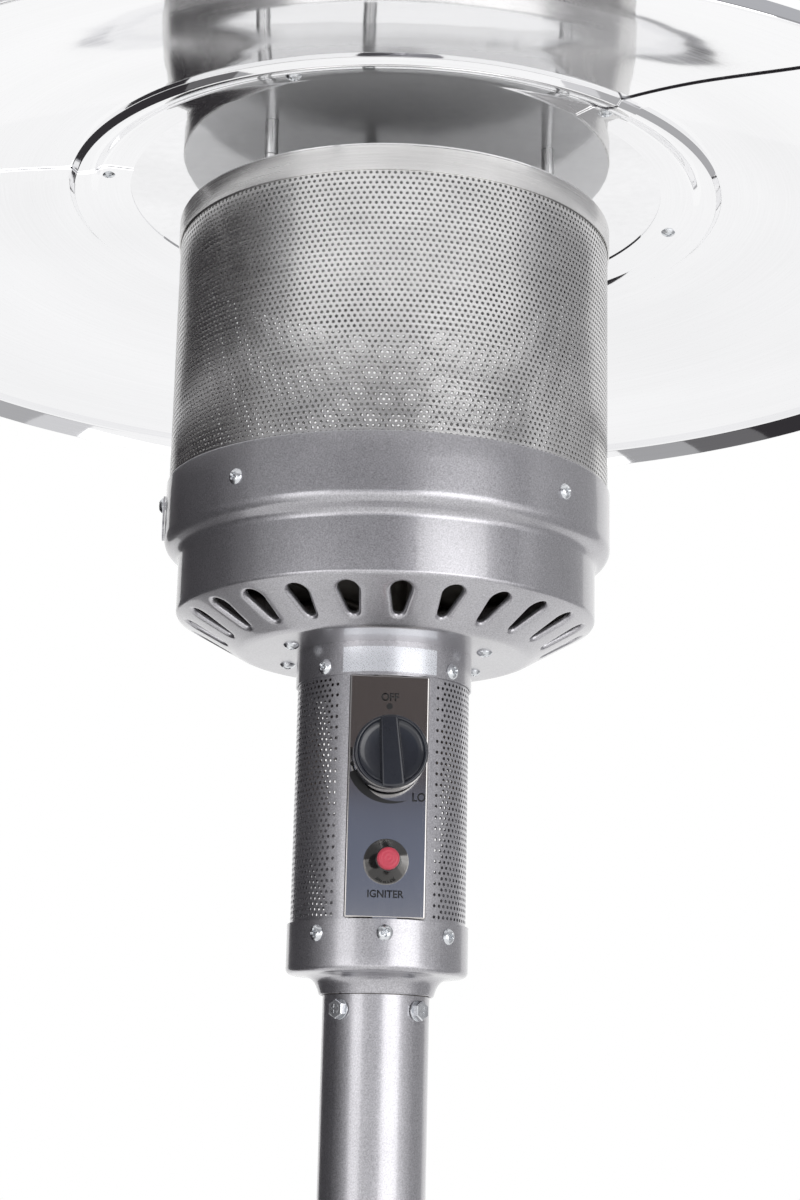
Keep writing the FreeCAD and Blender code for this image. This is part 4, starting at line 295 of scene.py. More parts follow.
# %% Screen in three sectors
SCREEN_R, SCREEN_LOW, SCREEN_HIGH, SHEET = 135.5, 267.5, 478.4, 0.8
HOLES_AROUND, HOLE_ROWS, SCREEN_HOLE_R = 240, 51, 1.06
screen_columns = np.linspace(0, 360, 2 * HOLES_AROUND + 1)
screen_lines = np.concatenate([[SCREEN_LOW], np.linspace(304.5, 464.0, HOLE_ROWS + 1), [SCREEN_HIGH]])
hole_row, hole_column = np.meshgrid(np.arange(1, HOLE_ROWS + 1), np.arange(HOLES_AROUND), indexing="ij")
screen_cells = np.stack([(2 * hole_column + hole_row % 2).ravel(), hole_row.ravel()], 1)
for sector in range(3):
    sheet = pierced(screen_columns, screen_lines, screen_cells, SCREEN_HOLE_R, SCREEN_R,
                    only=(160 * sector, 160 * (sector + 1)))
    piece(f"screen_sector_{sector + 1}", rolled_sheet(*sheet, SCREEN_R, SHEET), "stand", ["emitter_screen"],
          "screen_stainless")

# %% [markdown]
# ### Control tube
# The tube under the burner has the same kind of sheet with a slightly wider pitch, 88 holes around. A
# window is cut in its front for the control panel, and the holes stop short of it on both sides. Above and
# below the holes the sheet is plain, where the collar and the cup hold it.

# %% Tube with its window
TUBE_R, TUBE_HALF_STEP, TUBE_HOLE_R = 52.0, 180 / 88, 1.08
WINDOW_EDGE = 34.0
tube_columns = WINDOW_EDGE - 4 * TUBE_HALF_STEP + np.arange(177) * TUBE_HALF_STEP
tube_lines = np.concatenate([[15.5, 41.4], 42.4 + 3.2 * np.arange(45), [203.2]])
even = [(c, r) for r in range(2, 46, 2) for c in range(3, 147, 2)]
odd = [(c, r) for r in range(3, 46, 2) for c in range(6, 144, 2)]
window = [(i, j) for i in range(151, 176) for j in range(1, 46)]
sheet = pierced(tube_columns, tube_lines, even + odd, TUBE_HOLE_R, TUBE_R, window)
piece("control_tube", rolled_sheet(*sheet, TUBE_R, SHEET), "stand", ["control_shroud"], "silver_paint")

# %% [markdown]
# ## Burner housing
# The housing is pressed from one sheet and painted. Its underside is a cone with 24 drop-shaped air slots,
# and the press rolls the rim of each slot inwards, which catches a bright line of light. Each slot has a
# sector of 15 degrees: a fan of rings between the slot's outline and the sector's edge, so the rim can have
# its real round section and the sectors join without a seam.

# %% Drop-shaped outline and the rings around it
FLAT_H, FLAT_R, LOW_R, HOUSING_R = 203.5, 88.1, 127.9, 137.0
SLOPE = math.radians(29.5)
INNER_END, INNER_R, OUTER_END, OUTER_R, SLOT_MIDDLE = 99.9, 3.2, 115.2, 5.9, 108.0


def drop(angle, out):
    """Distance from the slot's middle to the hull of its two end circles, each out mm larger."""
    tilt = math.asin((OUTER_R - INNER_R) / (OUTER_END - INNER_END))
    upper = np.linspace(-tilt, math.pi + tilt, 121)
    lower = np.linspace(math.pi + tilt, 2 * math.pi - tilt, 61)
    across = np.concatenate([(OUTER_R + out) * np.cos(upper), (INNER_R + out) * np.cos(lower)])
    along = np.concatenate([OUTER_END - SLOT_MIDDLE + (OUTER_R + out) * np.sin(upper),
                            INNER_END - SLOT_MIDDLE + (INNER_R + out) * np.sin(lower)])
    loop = np.append(np.arange(len(across)), 0)
    fine = np.linspace(0, len(across), 3001)
    across = np.interp(fine, np.arange(len(loop)), across[loop])
    along = np.interp(fine, np.arange(len(loop)), along[loop])
    direction = np.arctan2(along, across)
    order = np.argsort(direction)
    return np.interp(angle, direction[order], np.hypot(across, along)[order], period=2 * math.pi)


def fan(edge, distance, rings, steps=3):
    """Rings from a hole to an edge.

    Each ring is (mm out of the outline, mm pressed in). After the last, steps lead straight to the edge.
    """
    angle = np.arctan2(edge[:, 1], edge[:, 0])
    loops, sinks = [], []
    for out, sink in rings:
        size = distance(angle, out)
        loops.append(np.stack([size * np.cos(angle), size * np.sin(angle)], 1))
        sinks.append(np.full(len(edge), sink))
    last = loops[-1]
    for step in range(1, steps + 1):
        loops.append(last + (edge - last) * step / steps)
        sinks.append(np.zeros(len(edge)))
    rows, count = len(loops), len(edge)
    first = (np.arange(rows - 1)[:, None] * count + np.arange(count)).ravel()
    other = (np.arange(rows - 1)[:, None] * count + np.roll(np.arange(count), -1)).ravel()
    faces = np.stack([first, first + count, other + count, other], 1)
    return np.concatenate(loops), np.concatenate(sinks), faces


def frame_of(left, right, low, high, across, along):
    """Points round a rectangle, anticlockwise, with across and along steps on its sides."""
    a = np.linspace(left, right, across + 1)
    b = np.linspace(low, high, along + 1)
    x = np.concatenate([a[:-1], np.full(along, right), a[:0:-1], np.full(along, left)])
    y = np.concatenate([np.full(across, low), b[:-1], np.full(across, high), b[:0:-1]])
    return np.stack([x, y], 1)


# %% Slotted cone, bands and step
STEP_DEGREES, SLOTS, CELL_LOW, CELL_HIGH = 1.25, 24, 92.4, 124.6
SECTOR = 360 / SLOTS
ROLLED_RIM = [(0, 3.4), (0, 2.6), (0.05, 1.9), (0.25, 1.3), (0.6, 0.8), (1.1, 0.36), (1.6, 0.1), (2.1, 0.0)]


def cone_height(radius):
    """Height of the underside's cone at a radius."""
    return FLAT_H + (radius - FLAT_R) * math.tan(SLOPE)


polar = frame_of(-SECTOR / 2, SECTOR / 2, CELL_LOW, CELL_HIGH, 12, 12)
plan = np.stack([polar[:, 1] * np.sin(np.radians(polar[:, 0])),
                 polar[:, 1] * np.cos(np.radians(polar[:, 0])) - SLOT_MIDDLE], 1)
flat_points, sink, cell_faces = fan(plan, drop, ROLLED_RIM)
across, along = flat_points[:, 0], flat_points[:, 1] + SLOT_MIDDLE
cell_radius, cell_azimuth = np.hypot(across, along), np.degrees(np.arctan2(across, along))
slotted = []
for sector in range(SLOTS):
    slotted.append((around(cell_radius - sink * math.sin(SLOPE), cell_azimuth + sector * SECTOR,
                           cone_height(cell_radius) + sink * math.cos(SLOPE)), cell_faces))

# The step between the bands is two arcs with a straight part between them, tilted STEP_TILT degrees.
CREASE, CORNER, CORNER_H = 13.0, 3.1, 227.84
STEP_OUT, STEP_IN, STEP_TILT, STEP_TOP, WALL_TOP = 8.2, 6.0, 58.27, 271.98, 291.0
back = CREASE * math.tan(SLOPE / 2)
inner_band = [(50.0, FLAT_H), (68.0, FLAT_H)] + arc((FLAT_R - back, FLAT_H + CREASE), CREASE, -90, -60.5, 8)
inner_band += [(CELL_LOW, cone_height(CELL_LOW))]
low_band = [(CELL_HIGH, cone_height(CELL_HIGH))] + arc((LOW_R - CORNER, CORNER_H), CORNER, -60.5, 0, 8)
straight = HOUSING_R - LOW_R - (STEP_OUT + STEP_IN) * (1 - math.cos(math.radians(STEP_TILT)))
step_foot = STEP_TOP - (STEP_OUT + STEP_IN) * math.sin(math.radians(STEP_TILT)) \
    - straight / math.tan(math.radians(STEP_TILT))
low_band += arc((LOW_R + STEP_IN, step_foot), STEP_IN, 180, 180 - STEP_TILT, 10)
low_band += arc((HOUSING_R - STEP_OUT, STEP_TOP), STEP_OUT, -STEP_TILT, 0, 12)
high_band = [(HOUSING_R, WALL_TOP)] + arc((HOUSING_R - 0.9, 305.4), 0.9, 0, 90, 5)
high_band += [(135.85, 306.3), (135.85, 305.3)]
steps = int(360 / STEP_DEGREES)
bands = [carried(band, steps, -SECTOR / 2, 360 - SECTOR / 2) for band in (inner_band, low_band, high_band)]

# %% Match hole in the left side
MATCH_AZIMUTH, MATCH_H, MATCH_R, HALF_PATCH = -90.0, 281.0, 6.5, 7.5
patch = frame_of(-HALF_PATCH, HALF_PATCH, STEP_TOP, WALL_TOP, 12, 8)
patch_plan = np.stack([np.radians(patch[:, 0]) * HOUSING_R, patch[:, 1] - MATCH_H], 1)
points, sink, faces = fan(patch_plan, lambda angle, out: np.full(len(angle), MATCH_R + out),
                          [(0, 1.0), (0.1, 0.4), (0.4, 0.1), (0.8, 0)], 2)
bands.append((around(HOUSING_R - sink, MATCH_AZIMUTH + np.degrees(points[:, 0] / HOUSING_R),
                     MATCH_H + points[:, 1]), faces))
wall_lines = [(HOUSING_R, h) for h in np.linspace(STEP_TOP, WALL_TOP, 9)]
bands.append(carried(wall_lines, steps - 12, MATCH_AZIMUTH + HALF_PATCH, MATCH_AZIMUTH + 360 - HALF_PATCH))
housing = thick(*together(slotted + bands), 1.0)
piece("housing_shell", housing, "stand", ["burner_housing"], "silver_paint", 40)

# %% [markdown]
# ## Reflector
# Three sheets of bright aluminium make the reflector. Each is a third of a shallow, slightly domed cone with
# a pressed bead and flange around the middle and a folded rim with a hem outside. At each seam a strip lies
# under the next panel, so seen from below a seam is the edge of a strip. The frame's sheets are right in
# size, but a mirror shows every flat facet, so the panels are carried round in fine steps instead.

# %% Panels with their laps
UNDERSIDE = [(169.0, 502.35), (176.0, 502.35), (183.5, 502.3), (187.0, 501.7), (190.0, 500.2), (193.0, 497.9),
             (196.0, 496.7), (199.0, 495.9), (202.0, 495.3)] + arc((203.2, 496.3), 1.1, 262, 325, 4)
UNDERSIDE += arc((207.6, 497.1), 1.1, 140, 103, 3)
DOME_TOP = 497.95
dome_r = np.linspace(207.9, 397.5, 25)
dome_tilt = np.interp(dome_r, [206.6, 280, 305, 330, 400], [9.0, 14.6, 15.4, 15.0, 11.6])
drops = np.diff(dome_r) * np.tan(np.radians(dome_tilt[1:] + dome_tilt[:-1]) / 2)
dome_h = DOME_TOP - np.concatenate([[0], np.cumsum(drops)])
UNDERSIDE += list(zip(dome_r, dome_h))
print("outer end of the dome", round(float(dome_h[-1]), 2))
UNDERSIDE += arc((398.9, 450.9), 2.5, 77, 29, 5) + [(404.7, 441.9)]
SEAMS, SEAM_GAP, STEPS_PER_DEGREE = (-83.2, 36.8, 156.8), 0.05, 1.2


def sheet_part(profile, start, end, wall=0.8):
    """Part of a turn of a sheet, its visible side as given and its wall on the other side."""
    return thick(*carried(profile, max(4, round((end - start) * STEPS_PER_DEGREE)), start, end), wall)


def hem(start, end):
    """The folded edge: a rounded bar with eight corners, closed at both ends."""
    corners = [(405.4, 441.8), (406.1, 441.8), (406.5, 442.2), (406.5, 443.8), (406.2, 444.2), (405.5, 444.3),
               (405.2, 443.8), (405.2, 442.2)]
    points, faces = carried(corners + [corners[0]], round((end - start) * STEPS_PER_DEGREE), start, end)
    count = len(points) - 9
    cap = np.array([[0, 1, 6, 7], [1, 2, 5, 6], [2, 3, 4, 5]])
    return closed(points, np.concatenate([faces, cap, cap[:, ::-1] + count]))


def lowered(profile, depth=0.98):
    """The same section one sheet lower, for a strip that lies under a panel."""
    radius, height = np.array(profile, float).T
    side = np.gradient(np.stack([radius, height]), axis=1)
    side /= np.hypot(*side)
    return list(zip(radius + side[1] * depth, height - side[0] * depth))


strips = {2: [(33.6, 37.7)], 3: [(-84.1, -80.0), (153.6, 157.7)]}
for number, seam in enumerate(SEAMS, start=1):
    start, end = seam + SEAM_GAP, seam + 120 - SEAM_GAP
    parts = [sheet_part(UNDERSIDE, start, end), hem(start, end)]
    parts += [sheet_part(lowered(UNDERSIDE), low, high) for low, high in strips.get(number, ())]
    piece(f"reflector_sheet_{number}", together(parts), "stand", [f"reflector_panel_{number}"],
          "reflector_aluminium", 50)

# %% [markdown]
# ## Cross-head screws
# Small pan-head screws hold the sheets together. A head is a height over a disc: a low dome, with a recess
# where either coordinate is small, which is a cross. The points lie on rings, so the same few lines give
# the head, its rim and its closed underside, and every screw in the heater is a copy of one head.

# %% One screw head
def screw_head(radius=4.75, height=2.6, around_steps=48):
    """z = dome(r) - recess(x, y), the recess being the overlap of two tapered bars."""
    turn = np.linspace(0, 2 * np.pi, around_steps + 1)
    r = np.concatenate([np.linspace(0, 0.62, 14), [0.72, 0.82, 0.9, 0.96, 1.0, 1.0, 0.0]]) * radius
    dome = height * np.clip(1 - 0.85 * (r / radius) ** 3.4, 0, 1)
    dome[-2:] = 0
    r, dome = np.broadcast_to(r, (len(turn), len(r))), np.broadcast_to(dome, (len(turn), len(r)))
    x, y = r * np.sin(turn)[:, None], -r * np.cos(turn)[:, None]
    small, large = np.minimum(abs(x), abs(y)), np.maximum(abs(x), abs(y))
    recess = 1.4 * np.clip((0.7 - small) / 0.25, 0, 1) * np.clip((2.7 - large) / 1.1, 0, 1)
    recess[:, -2:] = 0
    points = np.stack([x, y, dome - recess], -1).reshape(-1, 3) * MM
    return closed(points, grid_faces(*r.shape))


head = screw_head()
shank = about_z([(0, 0.2), (2.5, 0.2), (2.5, -8.0), (0, -8.0)], 24)
screw = together([head, shank])


def turned_by(shape, degrees):
    """The shape turned about its own Z, so that no two crosses stand quite alike."""
    points, faces = shape
    cos, sin = math.cos(math.radians(degrees)), math.sin(math.radians(degrees))
    return points @ np.array([[cos, sin, 0], [-sin, cos, 0], [0, 0, 1]]), faces


def screws(node, azimuths, radius, height, place):
    """One piece with a screw at each azimuth, in place of a node."""
    parts = []
    for index, azimuth in enumerate(azimuths):
        parts += place(turned_by(screw, 17 + 41 * index), [azimuth], radius, height)
    piece(f"{node}_set", together(parts), "stand", [node], "zinc_steel", 30)


screws("housing_screws", (44, -44, 136, -136), HOUSING_R, 286.0, outwards)
screws("collar_screws", (45, -45, 135, -135), 53.3, 189.5, outwards)
screws("cup_screws", (0, 45, -45, 135, -135, 180), 53.8, 33.3, outwards)
screws("underside_screws", (63, -63, 117, -117), 65.0, FLAT_H, downwards)

# %% Reflector screws with their nuts
RING_R, SCREW_H, NUT_H = 183.5, 502.4, 506.4
nut_points, nut_faces = about_z([(2.6, 0), (4.6, 0), (4.6, 4.0), (2.6, 4.0)], 6)
nut = nut_points * np.array([1, 1, -1]), nut_faces[:, ::-1]
parts = []
for index in range(6):
    azimuth = -23.2 + 60 * index
    parts += downwards(turned_by(screw, 29 * index), [azimuth], RING_R, SCREW_H)
    parts += downwards(nut, [azimuth], RING_R, NUT_H)
piece("reflector_screws_set", together(parts), "stand", ["reflector_screws"], "zinc_steel", 30)
piece("match_cover_screw_set", together(outwards(turned_by(screw, 30), [-90.0], 138.6, 294.0)), "stand",
      ["match_cover_screw"], "zinc_steel", 30)

# %% [markdown]
# ## Rods, cup and post bolts
# Plain rods carry the reflector. The cup is spun from one disc: its neck fits the post with a thin gap, and
# it opens through a rounded shoulder into the wall that holds the tube. Four bolts at the post's top have
# hexagon heads with a cross recess, and a washer each.

# %% Rods, cup and bolts
rod = about_z([(0, 467.5), (4.0, 467.5), (4.0, 503.0), (3.0, 503.1), (3.0, 514.2), (0, 514.2)], 48)
rods = [(rod[0] + around(101.0, azimuth, 0.0), rod[1]) for azimuth in (-54.0, 66.0, 186.0)]
piece("reflector_rods_set", together(rods), "stand", ["reflector_rods"], "rod_steel", 30)
CUP = [(32.4, 1.6), (32.5, 0.8), (32.9, 0.4), (33.4, 0.35), (33.8, 0.7), (34.1, 1.6), (34.7, 3.4)]
CUP += [(35.5, 5.4), (36.6, 7.4), (38.2, 9.2), (40.6, 10.5), (44.0, 11.3)]
CUP += arc((50.3, 15.2), 3.5, -80, 0) + [(53.8, 20.0), (53.8, 41.0)]
piece("spun_cup", thick(*carried(CUP), 1.0), "stand", ["post_cup"], "silver_paint", 40)
washer = about_z([(0, 0), (6.0, 0), (6.0, 0.8), (5.8, 1.0), (0, 1.0)], 40)
hexagon = about_z([(0, 1.0), (5.77, 1.0), (5.77, 4.0), (5.2, 4.7), (0, 4.7)], 6)
cross = screw_head(4.3, 0.5)
bolt = together([washer, hexagon, (cross[0] + np.array([0, 0, 4.35]) * MM, cross[1])])
piece("post_bolts_set", together(outwards(bolt, (45.0, -45.0, 135.0, -135.0), 31.5, -8.6)), "stand",
      ["post_top_bolts"], "zinc_steel", 30)

# %% [markdown]
# ## Control knob
# The knob is moulded in one piece: a skirt that widens towards the panel, a rim, a dished face and a grip
# bar that grows wider downwards. The skirt and the dish are profiles turned about the knob's axis. The bar
# is a rounded section carried along the diameter, cut to the rim's circle at both ends.

# %% Skirt, dished face and grip bar
KNOB_H, KNOB_Y = 135.0, -72.0
DISH = [(0, -2.3), (8, -2.3), (15.2, -2.25), (17.4, -2.0), (18.6, -1.4), (19.2, -0.6), (19.5, -0.15)]
RIM = [(19.9, 0), (20.4, 0), (20.9, -0.2), (21.25, -0.75), (21.4, -1.6)]
SKIRT = [(21.5, -8.0), (21.5, -16.4), (21.3, -17.0), (19.2, -17.0), (19.0, -16.4), (18.9, -6.0), (0, -6.0)]
knob_body = about_z(DISH + RIM + SKIRT, 160)
BAR_TOP, BAR_FOOT, BAR_CORNER, BAR_REACH, BAR_END = 1.0, -2.9, 1.6, 20.95, 1.3


def bar_section():
    """Across (-1 to 1) and up (mm) of the bar's section: flanks, rounded shoulders and a flat top."""
    side = np.radians(np.linspace(0, 90, 7))
    shoulder, rise = -1 + 0.24 * (1 - np.cos(side)), BAR_TOP - BAR_CORNER * (1 - np.sin(side))
    x = np.concatenate([[-1.12, -1.03], shoulder, np.linspace(-0.7, 0.7, 9), -shoulder[::-1], [1.03, 1.12]])
    up = np.concatenate([[BAR_FOOT, -1.6], rise, np.full(9, BAR_TOP), rise[::-1], [-1.6, BAR_FOOT]])
    return x, up


def grip_bar():
    """The bar as a closed grid: sections along the diameter, 6.9 to 5.1 mm to a side, rounded at both ends.

    Each point reaches sqrt(R^2 - x^2) along the bar, and near an end the height above -1 mm follows a
    quarter circle.
    """
    x, up = bar_section()
    along = np.sin(np.linspace(-1, 1, 61) * math.pi / 2)
    half = 6.0 - 0.9 * along[:, None]
    across = x[None, :] * half
    reach = np.sqrt(BAR_REACH ** 2 - across ** 2)
    end = np.clip((1 - abs(along[:, None])) * BAR_REACH / BAR_END, 0, 1)
    height = np.where(up > -1.0, (up + 1.0) * np.sqrt(1 - (1 - end) ** 2) - 1.0, up)
    points = np.stack([across, along[:, None] * reach, height], -1)
    points = np.concatenate([points, points[:, :1]], 1)
    rows, columns = points.shape[:2]
    flat = points.reshape(-1, 3) * MM
    faces = grid_faces(rows, columns)
    caps = []
    for row in (0, rows - 1):
        middle = len(flat)
        flat = np.concatenate([flat, points[row, :-1].mean(0)[None] * MM])
        a = row * columns + np.arange(columns - 1)
        caps.append(np.stack([np.full(columns - 1, middle), a, a + 1, a + 1], 1)[:, :: 1 if row else -1])
    return closed(flat, np.concatenate([faces] + caps))


knob = forwards(together([knob_body, turned_by(grip_bar(), 5.0)]), 0, KNOB_Y, KNOB_H)
piece("knob_moulding", knob, "pressed_knob", ["control_knob"], "black_plastic", 38)

# %% [markdown]
# ## Lettering on the panel
# OFF, HI, LO and IGNITER are printed on the panel, with a dot at OFF and at HI and a black wedge round the
# knob that grows towards HI. Text objects are turned into meshes first and then moved on to the panel, so
# that the finished pieces sit at the origin. The ink stands a few hundredths of a millimetre proud.

# %% Printed marks
PANEL_Y, INK = -50.5, 0.04


def on_panel(points, proud):
    """Metres from x and height in mm, for points that stand proud of the panel by so many mm."""
    return np.stack([points[:, 0], np.full(len(points), PANEL_Y - proud), POST_TOP + points[:, 1]], 1) * MM


def print_mesh(name, points, faces):
    """A flat shape on the panel, given in mm as x and height, with a thin edge."""
    flat = on_panel(points, 0.01)
    raised = flat - np.array([0, INK * MM, 0])
    piece(name, closed(*walled(raised, flat, faces)), "stand", [], "print_ink")


def lettering(word, height, x, h, stretch=1.0):
    """A word as a mesh of its own, centred at x and h, in mm."""
    text = bpy.data.curves.new(word, "FONT")
    text.body, text.size, text.offset, text.resolution_u = word, 1.0, 0.021, 4
    holder = bpy.data.objects.new(word, text)
    mesh = bpy.data.meshes.new_from_object(holder)
    points = np.zeros(len(mesh.vertices) * 3)
    mesh.vertices.foreach_get("co", points)
    points = points.reshape(-1, 3)[:, :2]
    low, high = points.min(0), points.max(0)
    scale = height / (high[1] - low[1])
    points = (points - (low + high) / 2) * np.array([scale * stretch, scale]) + np.array([x, h])
    mesh.vertices.foreach_set("co", on_panel(points, 0.045).ravel())
    thing = bpy.data.objects.new(f"print_{word.lower()}", mesh)
    mesh.materials.clear()
    bpy.context.scene.collection.objects.link(thing)
    bpy.data.objects.remove(holder)
    solid = thing.modifiers.new("ink", "SOLIDIFY")
    solid.thickness, solid.offset = INK * MM, -1.0
    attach(thing, "stand")
    made.append((thing, "print_ink"))


lettering("OFF", 4.8, 0.2, 170.3, 0.92)
lettering("HI", 5.0, -19.6, 137.4, 0.9)
lettering("LO", 5.2, 18.3, 111.9, 0.9)
lettering("IGNITER", 4.4, 0.2, 55.6, 0.95)


def disc(x, h, radius, steps=32):
    """A round dot as a fan of quads folded to triangles about its middle."""
    turn = np.linspace(0, 2 * np.pi, steps + 1)[:-1]
    points = np.concatenate([[[x, h]], np.stack([x + radius * np.cos(turn), h + radius * np.sin(turn)], 1)])
    k = np.arange(steps)
    return points, np.stack([np.zeros(steps, int), k + 1, (k + 1) % steps + 1, (k + 1) % steps + 1], 1)


def wedge(x=1.2, h=133.3, radius=25.6, start=-72, end=24, left=-22.2, steps=60):
    """Between an outer circle and one that comes closer to it towards LO, cut off at the panel's left."""
    turn = np.radians(np.linspace(start, end, steps))
    thickness = 7.0 * (math.radians(end) - turn) / math.radians(end - start) + 0.05
    edges = []
    for size, limit in ((radius, left), (radius - thickness, left + 0.1)):
        edges.append(np.stack([np.maximum(x + size * np.sin(turn), limit), h - size * np.cos(turn)], 1))
    return np.stack(edges, 1).reshape(-1, 2), grid_faces(steps, 2)


for name, (points, faces) in {"print_off_dot": disc(0, 164.8, 1.85), "print_hi_dot": disc(-20.6, 130.3, 1.5),
                              "print_wedge": wedge()}.items():
    print_mesh(name, points, faces)

# %% [markdown]
# ## Igniter button and bezel
# The bezel is a cone turned on a lathe, whose tool leaves fine rings. The button is a moulded cap with a
# rounded edge and shallow ripples on its face, as moulded in. Both are profiles turned about the button's
# axis, because that gives the rings and the ripples at once, with no edge where they meet.

# %% Button and bezel
BUTTON_H, BUTTON_FRONT, BEZEL_BACK = 74.0, -70.5, -50.5
RIPPLE, RIPPLE_TURN = 0.05, 2.6
face = [(r, RIPPLE * (math.cos(RIPPLE_TURN * r) - 1)) for r in 0.4 * np.arange(12)]
edge = [(4.9, -0.14), (5.5, -0.4), (6.0, -0.85), (6.3, -1.45), (6.4, -2.2), (6.4, -29.9), (0, -29.9)]
cap = forwards(about_z(face + edge, 72), 0, BUTTON_FRONT, BUTTON_H)
piece("button_cap", cap, "pressed_button", ["igniter_button"], "red_plastic", 40)
band = [(6.55, 0), (12.7, 0), (13.0, 0.3), (13.0, 2.3), (12.7, 2.7)]
slope = [(12.8 - 5.9 * t, 3.2 + 11.8 * t) for t in np.linspace(0, 1, 27)]
rings = [(r + (0.06 if k % 2 else -0.02), y) for k, (r, y) in enumerate(slope)]
cone = forwards(about_z(band + rings[1:] + [(6.55, 15.0)], 96), 0, BEZEL_BACK, BUTTON_H)
piece("bezel_cone", cone, "stand", ["igniter_bezel"], "gloss_black_plastic", 60)

# %% [markdown]
# ## Finishes
# Every finish is built the same way. A fine pattern and a slow one, both with real sizes in millimetres,
# decide how much of a light and a dark tone shows and how rough the surface is, and a third swells it. What
# makes one metal look unlike another is the size and direction of the fine pattern and the sharpness of its
# reflection.

# %% Helpers for colours and nodes
def colour(code):
    """sRGB hex to the linear values that the renderer uses."""
    value = np.array([int(code[k:k + 2], 16) / 255 for k in (1, 3, 5)])
    return (*np.where(value <= 0.04045, value / 12.92, ((value + 0.055) / 1.055) ** 2.4), 1.0)


def add(tree, kind, inputs=None, **settings):
    """Adds a node with its settings; inputs are values or other nodes' outputs."""
    node = tree.nodes.new(kind)
    for name, value in settings.items():
        setattr(node, name, value)
    for name, value in (inputs or {}).items():
        if isinstance(value, bpy.types.NodeSocket):
            tree.links.new(value, node.inputs[name])
        else:
            node.inputs[name].default_value = value
    return node


def grain_space(tree, around_axis):
    """Object coordinates, or for spun and rolled parts the arc length, radius and height."""
    place = add(tree, "ShaderNodeTexCoord").outputs["Object"]
    if not around_axis:
        return place
    place = add(tree, "ShaderNodeVectorMath", {0: place, 1: (1, -1, 1)}, operation="MULTIPLY").outputs[0]
    part = add(tree, "ShaderNodeSeparateXYZ", {0: place}).outputs
    turn = add(tree, "ShaderNodeMath", {0: part["X"], 1: part["Y"]}, operation="ARCTAN2").outputs[0]
    length = add(tree, "ShaderNodeMath", {0: turn, 1: 0.1}, operation="MULTIPLY").outputs[0]
    across = add(tree, "ShaderNodeVectorMath", {0: place, 1: (1, 1, 0)}, operation="MULTIPLY").outputs[0]
    radius = add(tree, "ShaderNodeVectorMath", {0: across}, operation="LENGTH").outputs["Value"]
    return add(tree, "ShaderNodeCombineXYZ", {0: length, 1: radius, 2: part["Z"]}).outputs[0]


def finish(name, light, dark, metallic, rough, grain, blotch=60.0, blotch_dark=0.12, swell=0.0,
           swell_size=2.0, around_axis=False, grain_share=0.5, **sockets):
    """A Principled material whose tones, roughness and swell follow patterns.

    grain (x, y, z), blotch and swell_size are pattern sizes in mm, and swell is the waves' height in mm.
    rough is the lowest and the highest roughness. blotch_dark is how much darker the slow pattern gets.
    grain_share is the fine pattern's share in the tone. sockets sets any other input by its name.
    """
    material = bpy.data.materials.new(name)
    material.use_nodes = True
    tree = material.node_tree
    shader = tree.nodes["Principled BSDF"]
    space = grain_space(tree, around_axis)
    size = add(tree, "ShaderNodeMapping", {"Vector": space, "Scale": tuple(1 / (g * MM) for g in grain)})
    fine = add(tree, "ShaderNodeTexNoise", {"Vector": size.outputs[0], "Scale": 1.0,
                                            "Detail": 3.0}).outputs[0]
    slow = add(tree, "ShaderNodeTexNoise", {"Vector": space, "Scale": 1 / (blotch * MM),
                                            "Detail": 2.0}).outputs[0]
    both = add(tree, "ShaderNodeMix", {0: grain_share, 2: slow, 3: fine}).outputs[0]
    share = add(tree, "ShaderNodeMapRange", {0: both, 1: 0.3, 2: 0.7}).outputs[0]
    tone = add(tree, "ShaderNodeMix", {0: share, 6: colour(dark), 7: colour(light)},
               data_type="RGBA").outputs[2]
    veil = add(tree, "ShaderNodeMapRange", {0: slow, 1: 0.35, 2: 0.65, 3: 1 - blotch_dark, 4: 1.0}).outputs[0]
    shade = add(tree, "ShaderNodeVectorMath", {0: tone, "Scale": veil}, operation="SCALE").outputs[0]
    gloss = add(tree, "ShaderNodeMapRange", {0: fine, 1: 0.3, 2: 0.7, 3: rough[0], 4: rough[1]}).outputs[0]
    tree.links.new(shade, shader.inputs["Base Color"])
    tree.links.new(gloss, shader.inputs["Roughness"])
    shader.inputs["Metallic"].default_value = metallic
    for socket, value in sockets.items():
        shader.inputs[socket.replace("_", " ")].default_value = value
    if swell:
        place = add(tree, "ShaderNodeTexCoord").outputs["Object"]
        wave = add(tree, "ShaderNodeTexNoise", {"Vector": place, "Scale": 1 / (swell_size * MM),
                                                "Detail": 2.0}).outputs[0]
        bump = add(tree, "ShaderNodeBump", {"Strength": 1.0, "Distance": swell * MM, "Height": wave})
        tree.links.new(bump.outputs[0], shader.inputs["Normal"])
    return material


# %% [markdown]
# ### Sheet metal
# The sheets are enamel on steel, stainless steel and bright aluminium. Enamel with metal flakes is a soft
# mirror under a clear, sharp one, so it gets a second layer, the coat. The bare sheets differ only in how
# sharply they mirror and which way their fine lines run: round the axis where a sheet is rolled or spun.

# %% Enamel, stainless steel and aluminium
FINISHES = {}
# Enamel with aluminium flakes, sprayed and baked: it sparkles under a clear skin. Real flakes are about
# 0.05 mm, too fine to show, so they are drawn 0.8 mm wide.
FINISHES["silver_paint"] = finish(
    "flake_enamel_sprayed_baked", "#cdccd0", "#9a989c", 0.88, (0.28, 0.36), (0.8, 0.8, 0.8), 80, 0.05,
    swell=0.005, swell_size=2.0, grain_share=0.8, Coat_Weight=0.9, Coat_Roughness=0.06)
# Stainless steel, ground with a fine belt: faint upright streaks and a clear, slightly soft reflection.
FINISHES["panel_stainless"] = finish(
    "stainless_steel_belt_ground", "#c8c5c3", "#c2bfbd", 1.0, (0.085, 0.1), (0.5, 0.5, 18), 70, 0.04)
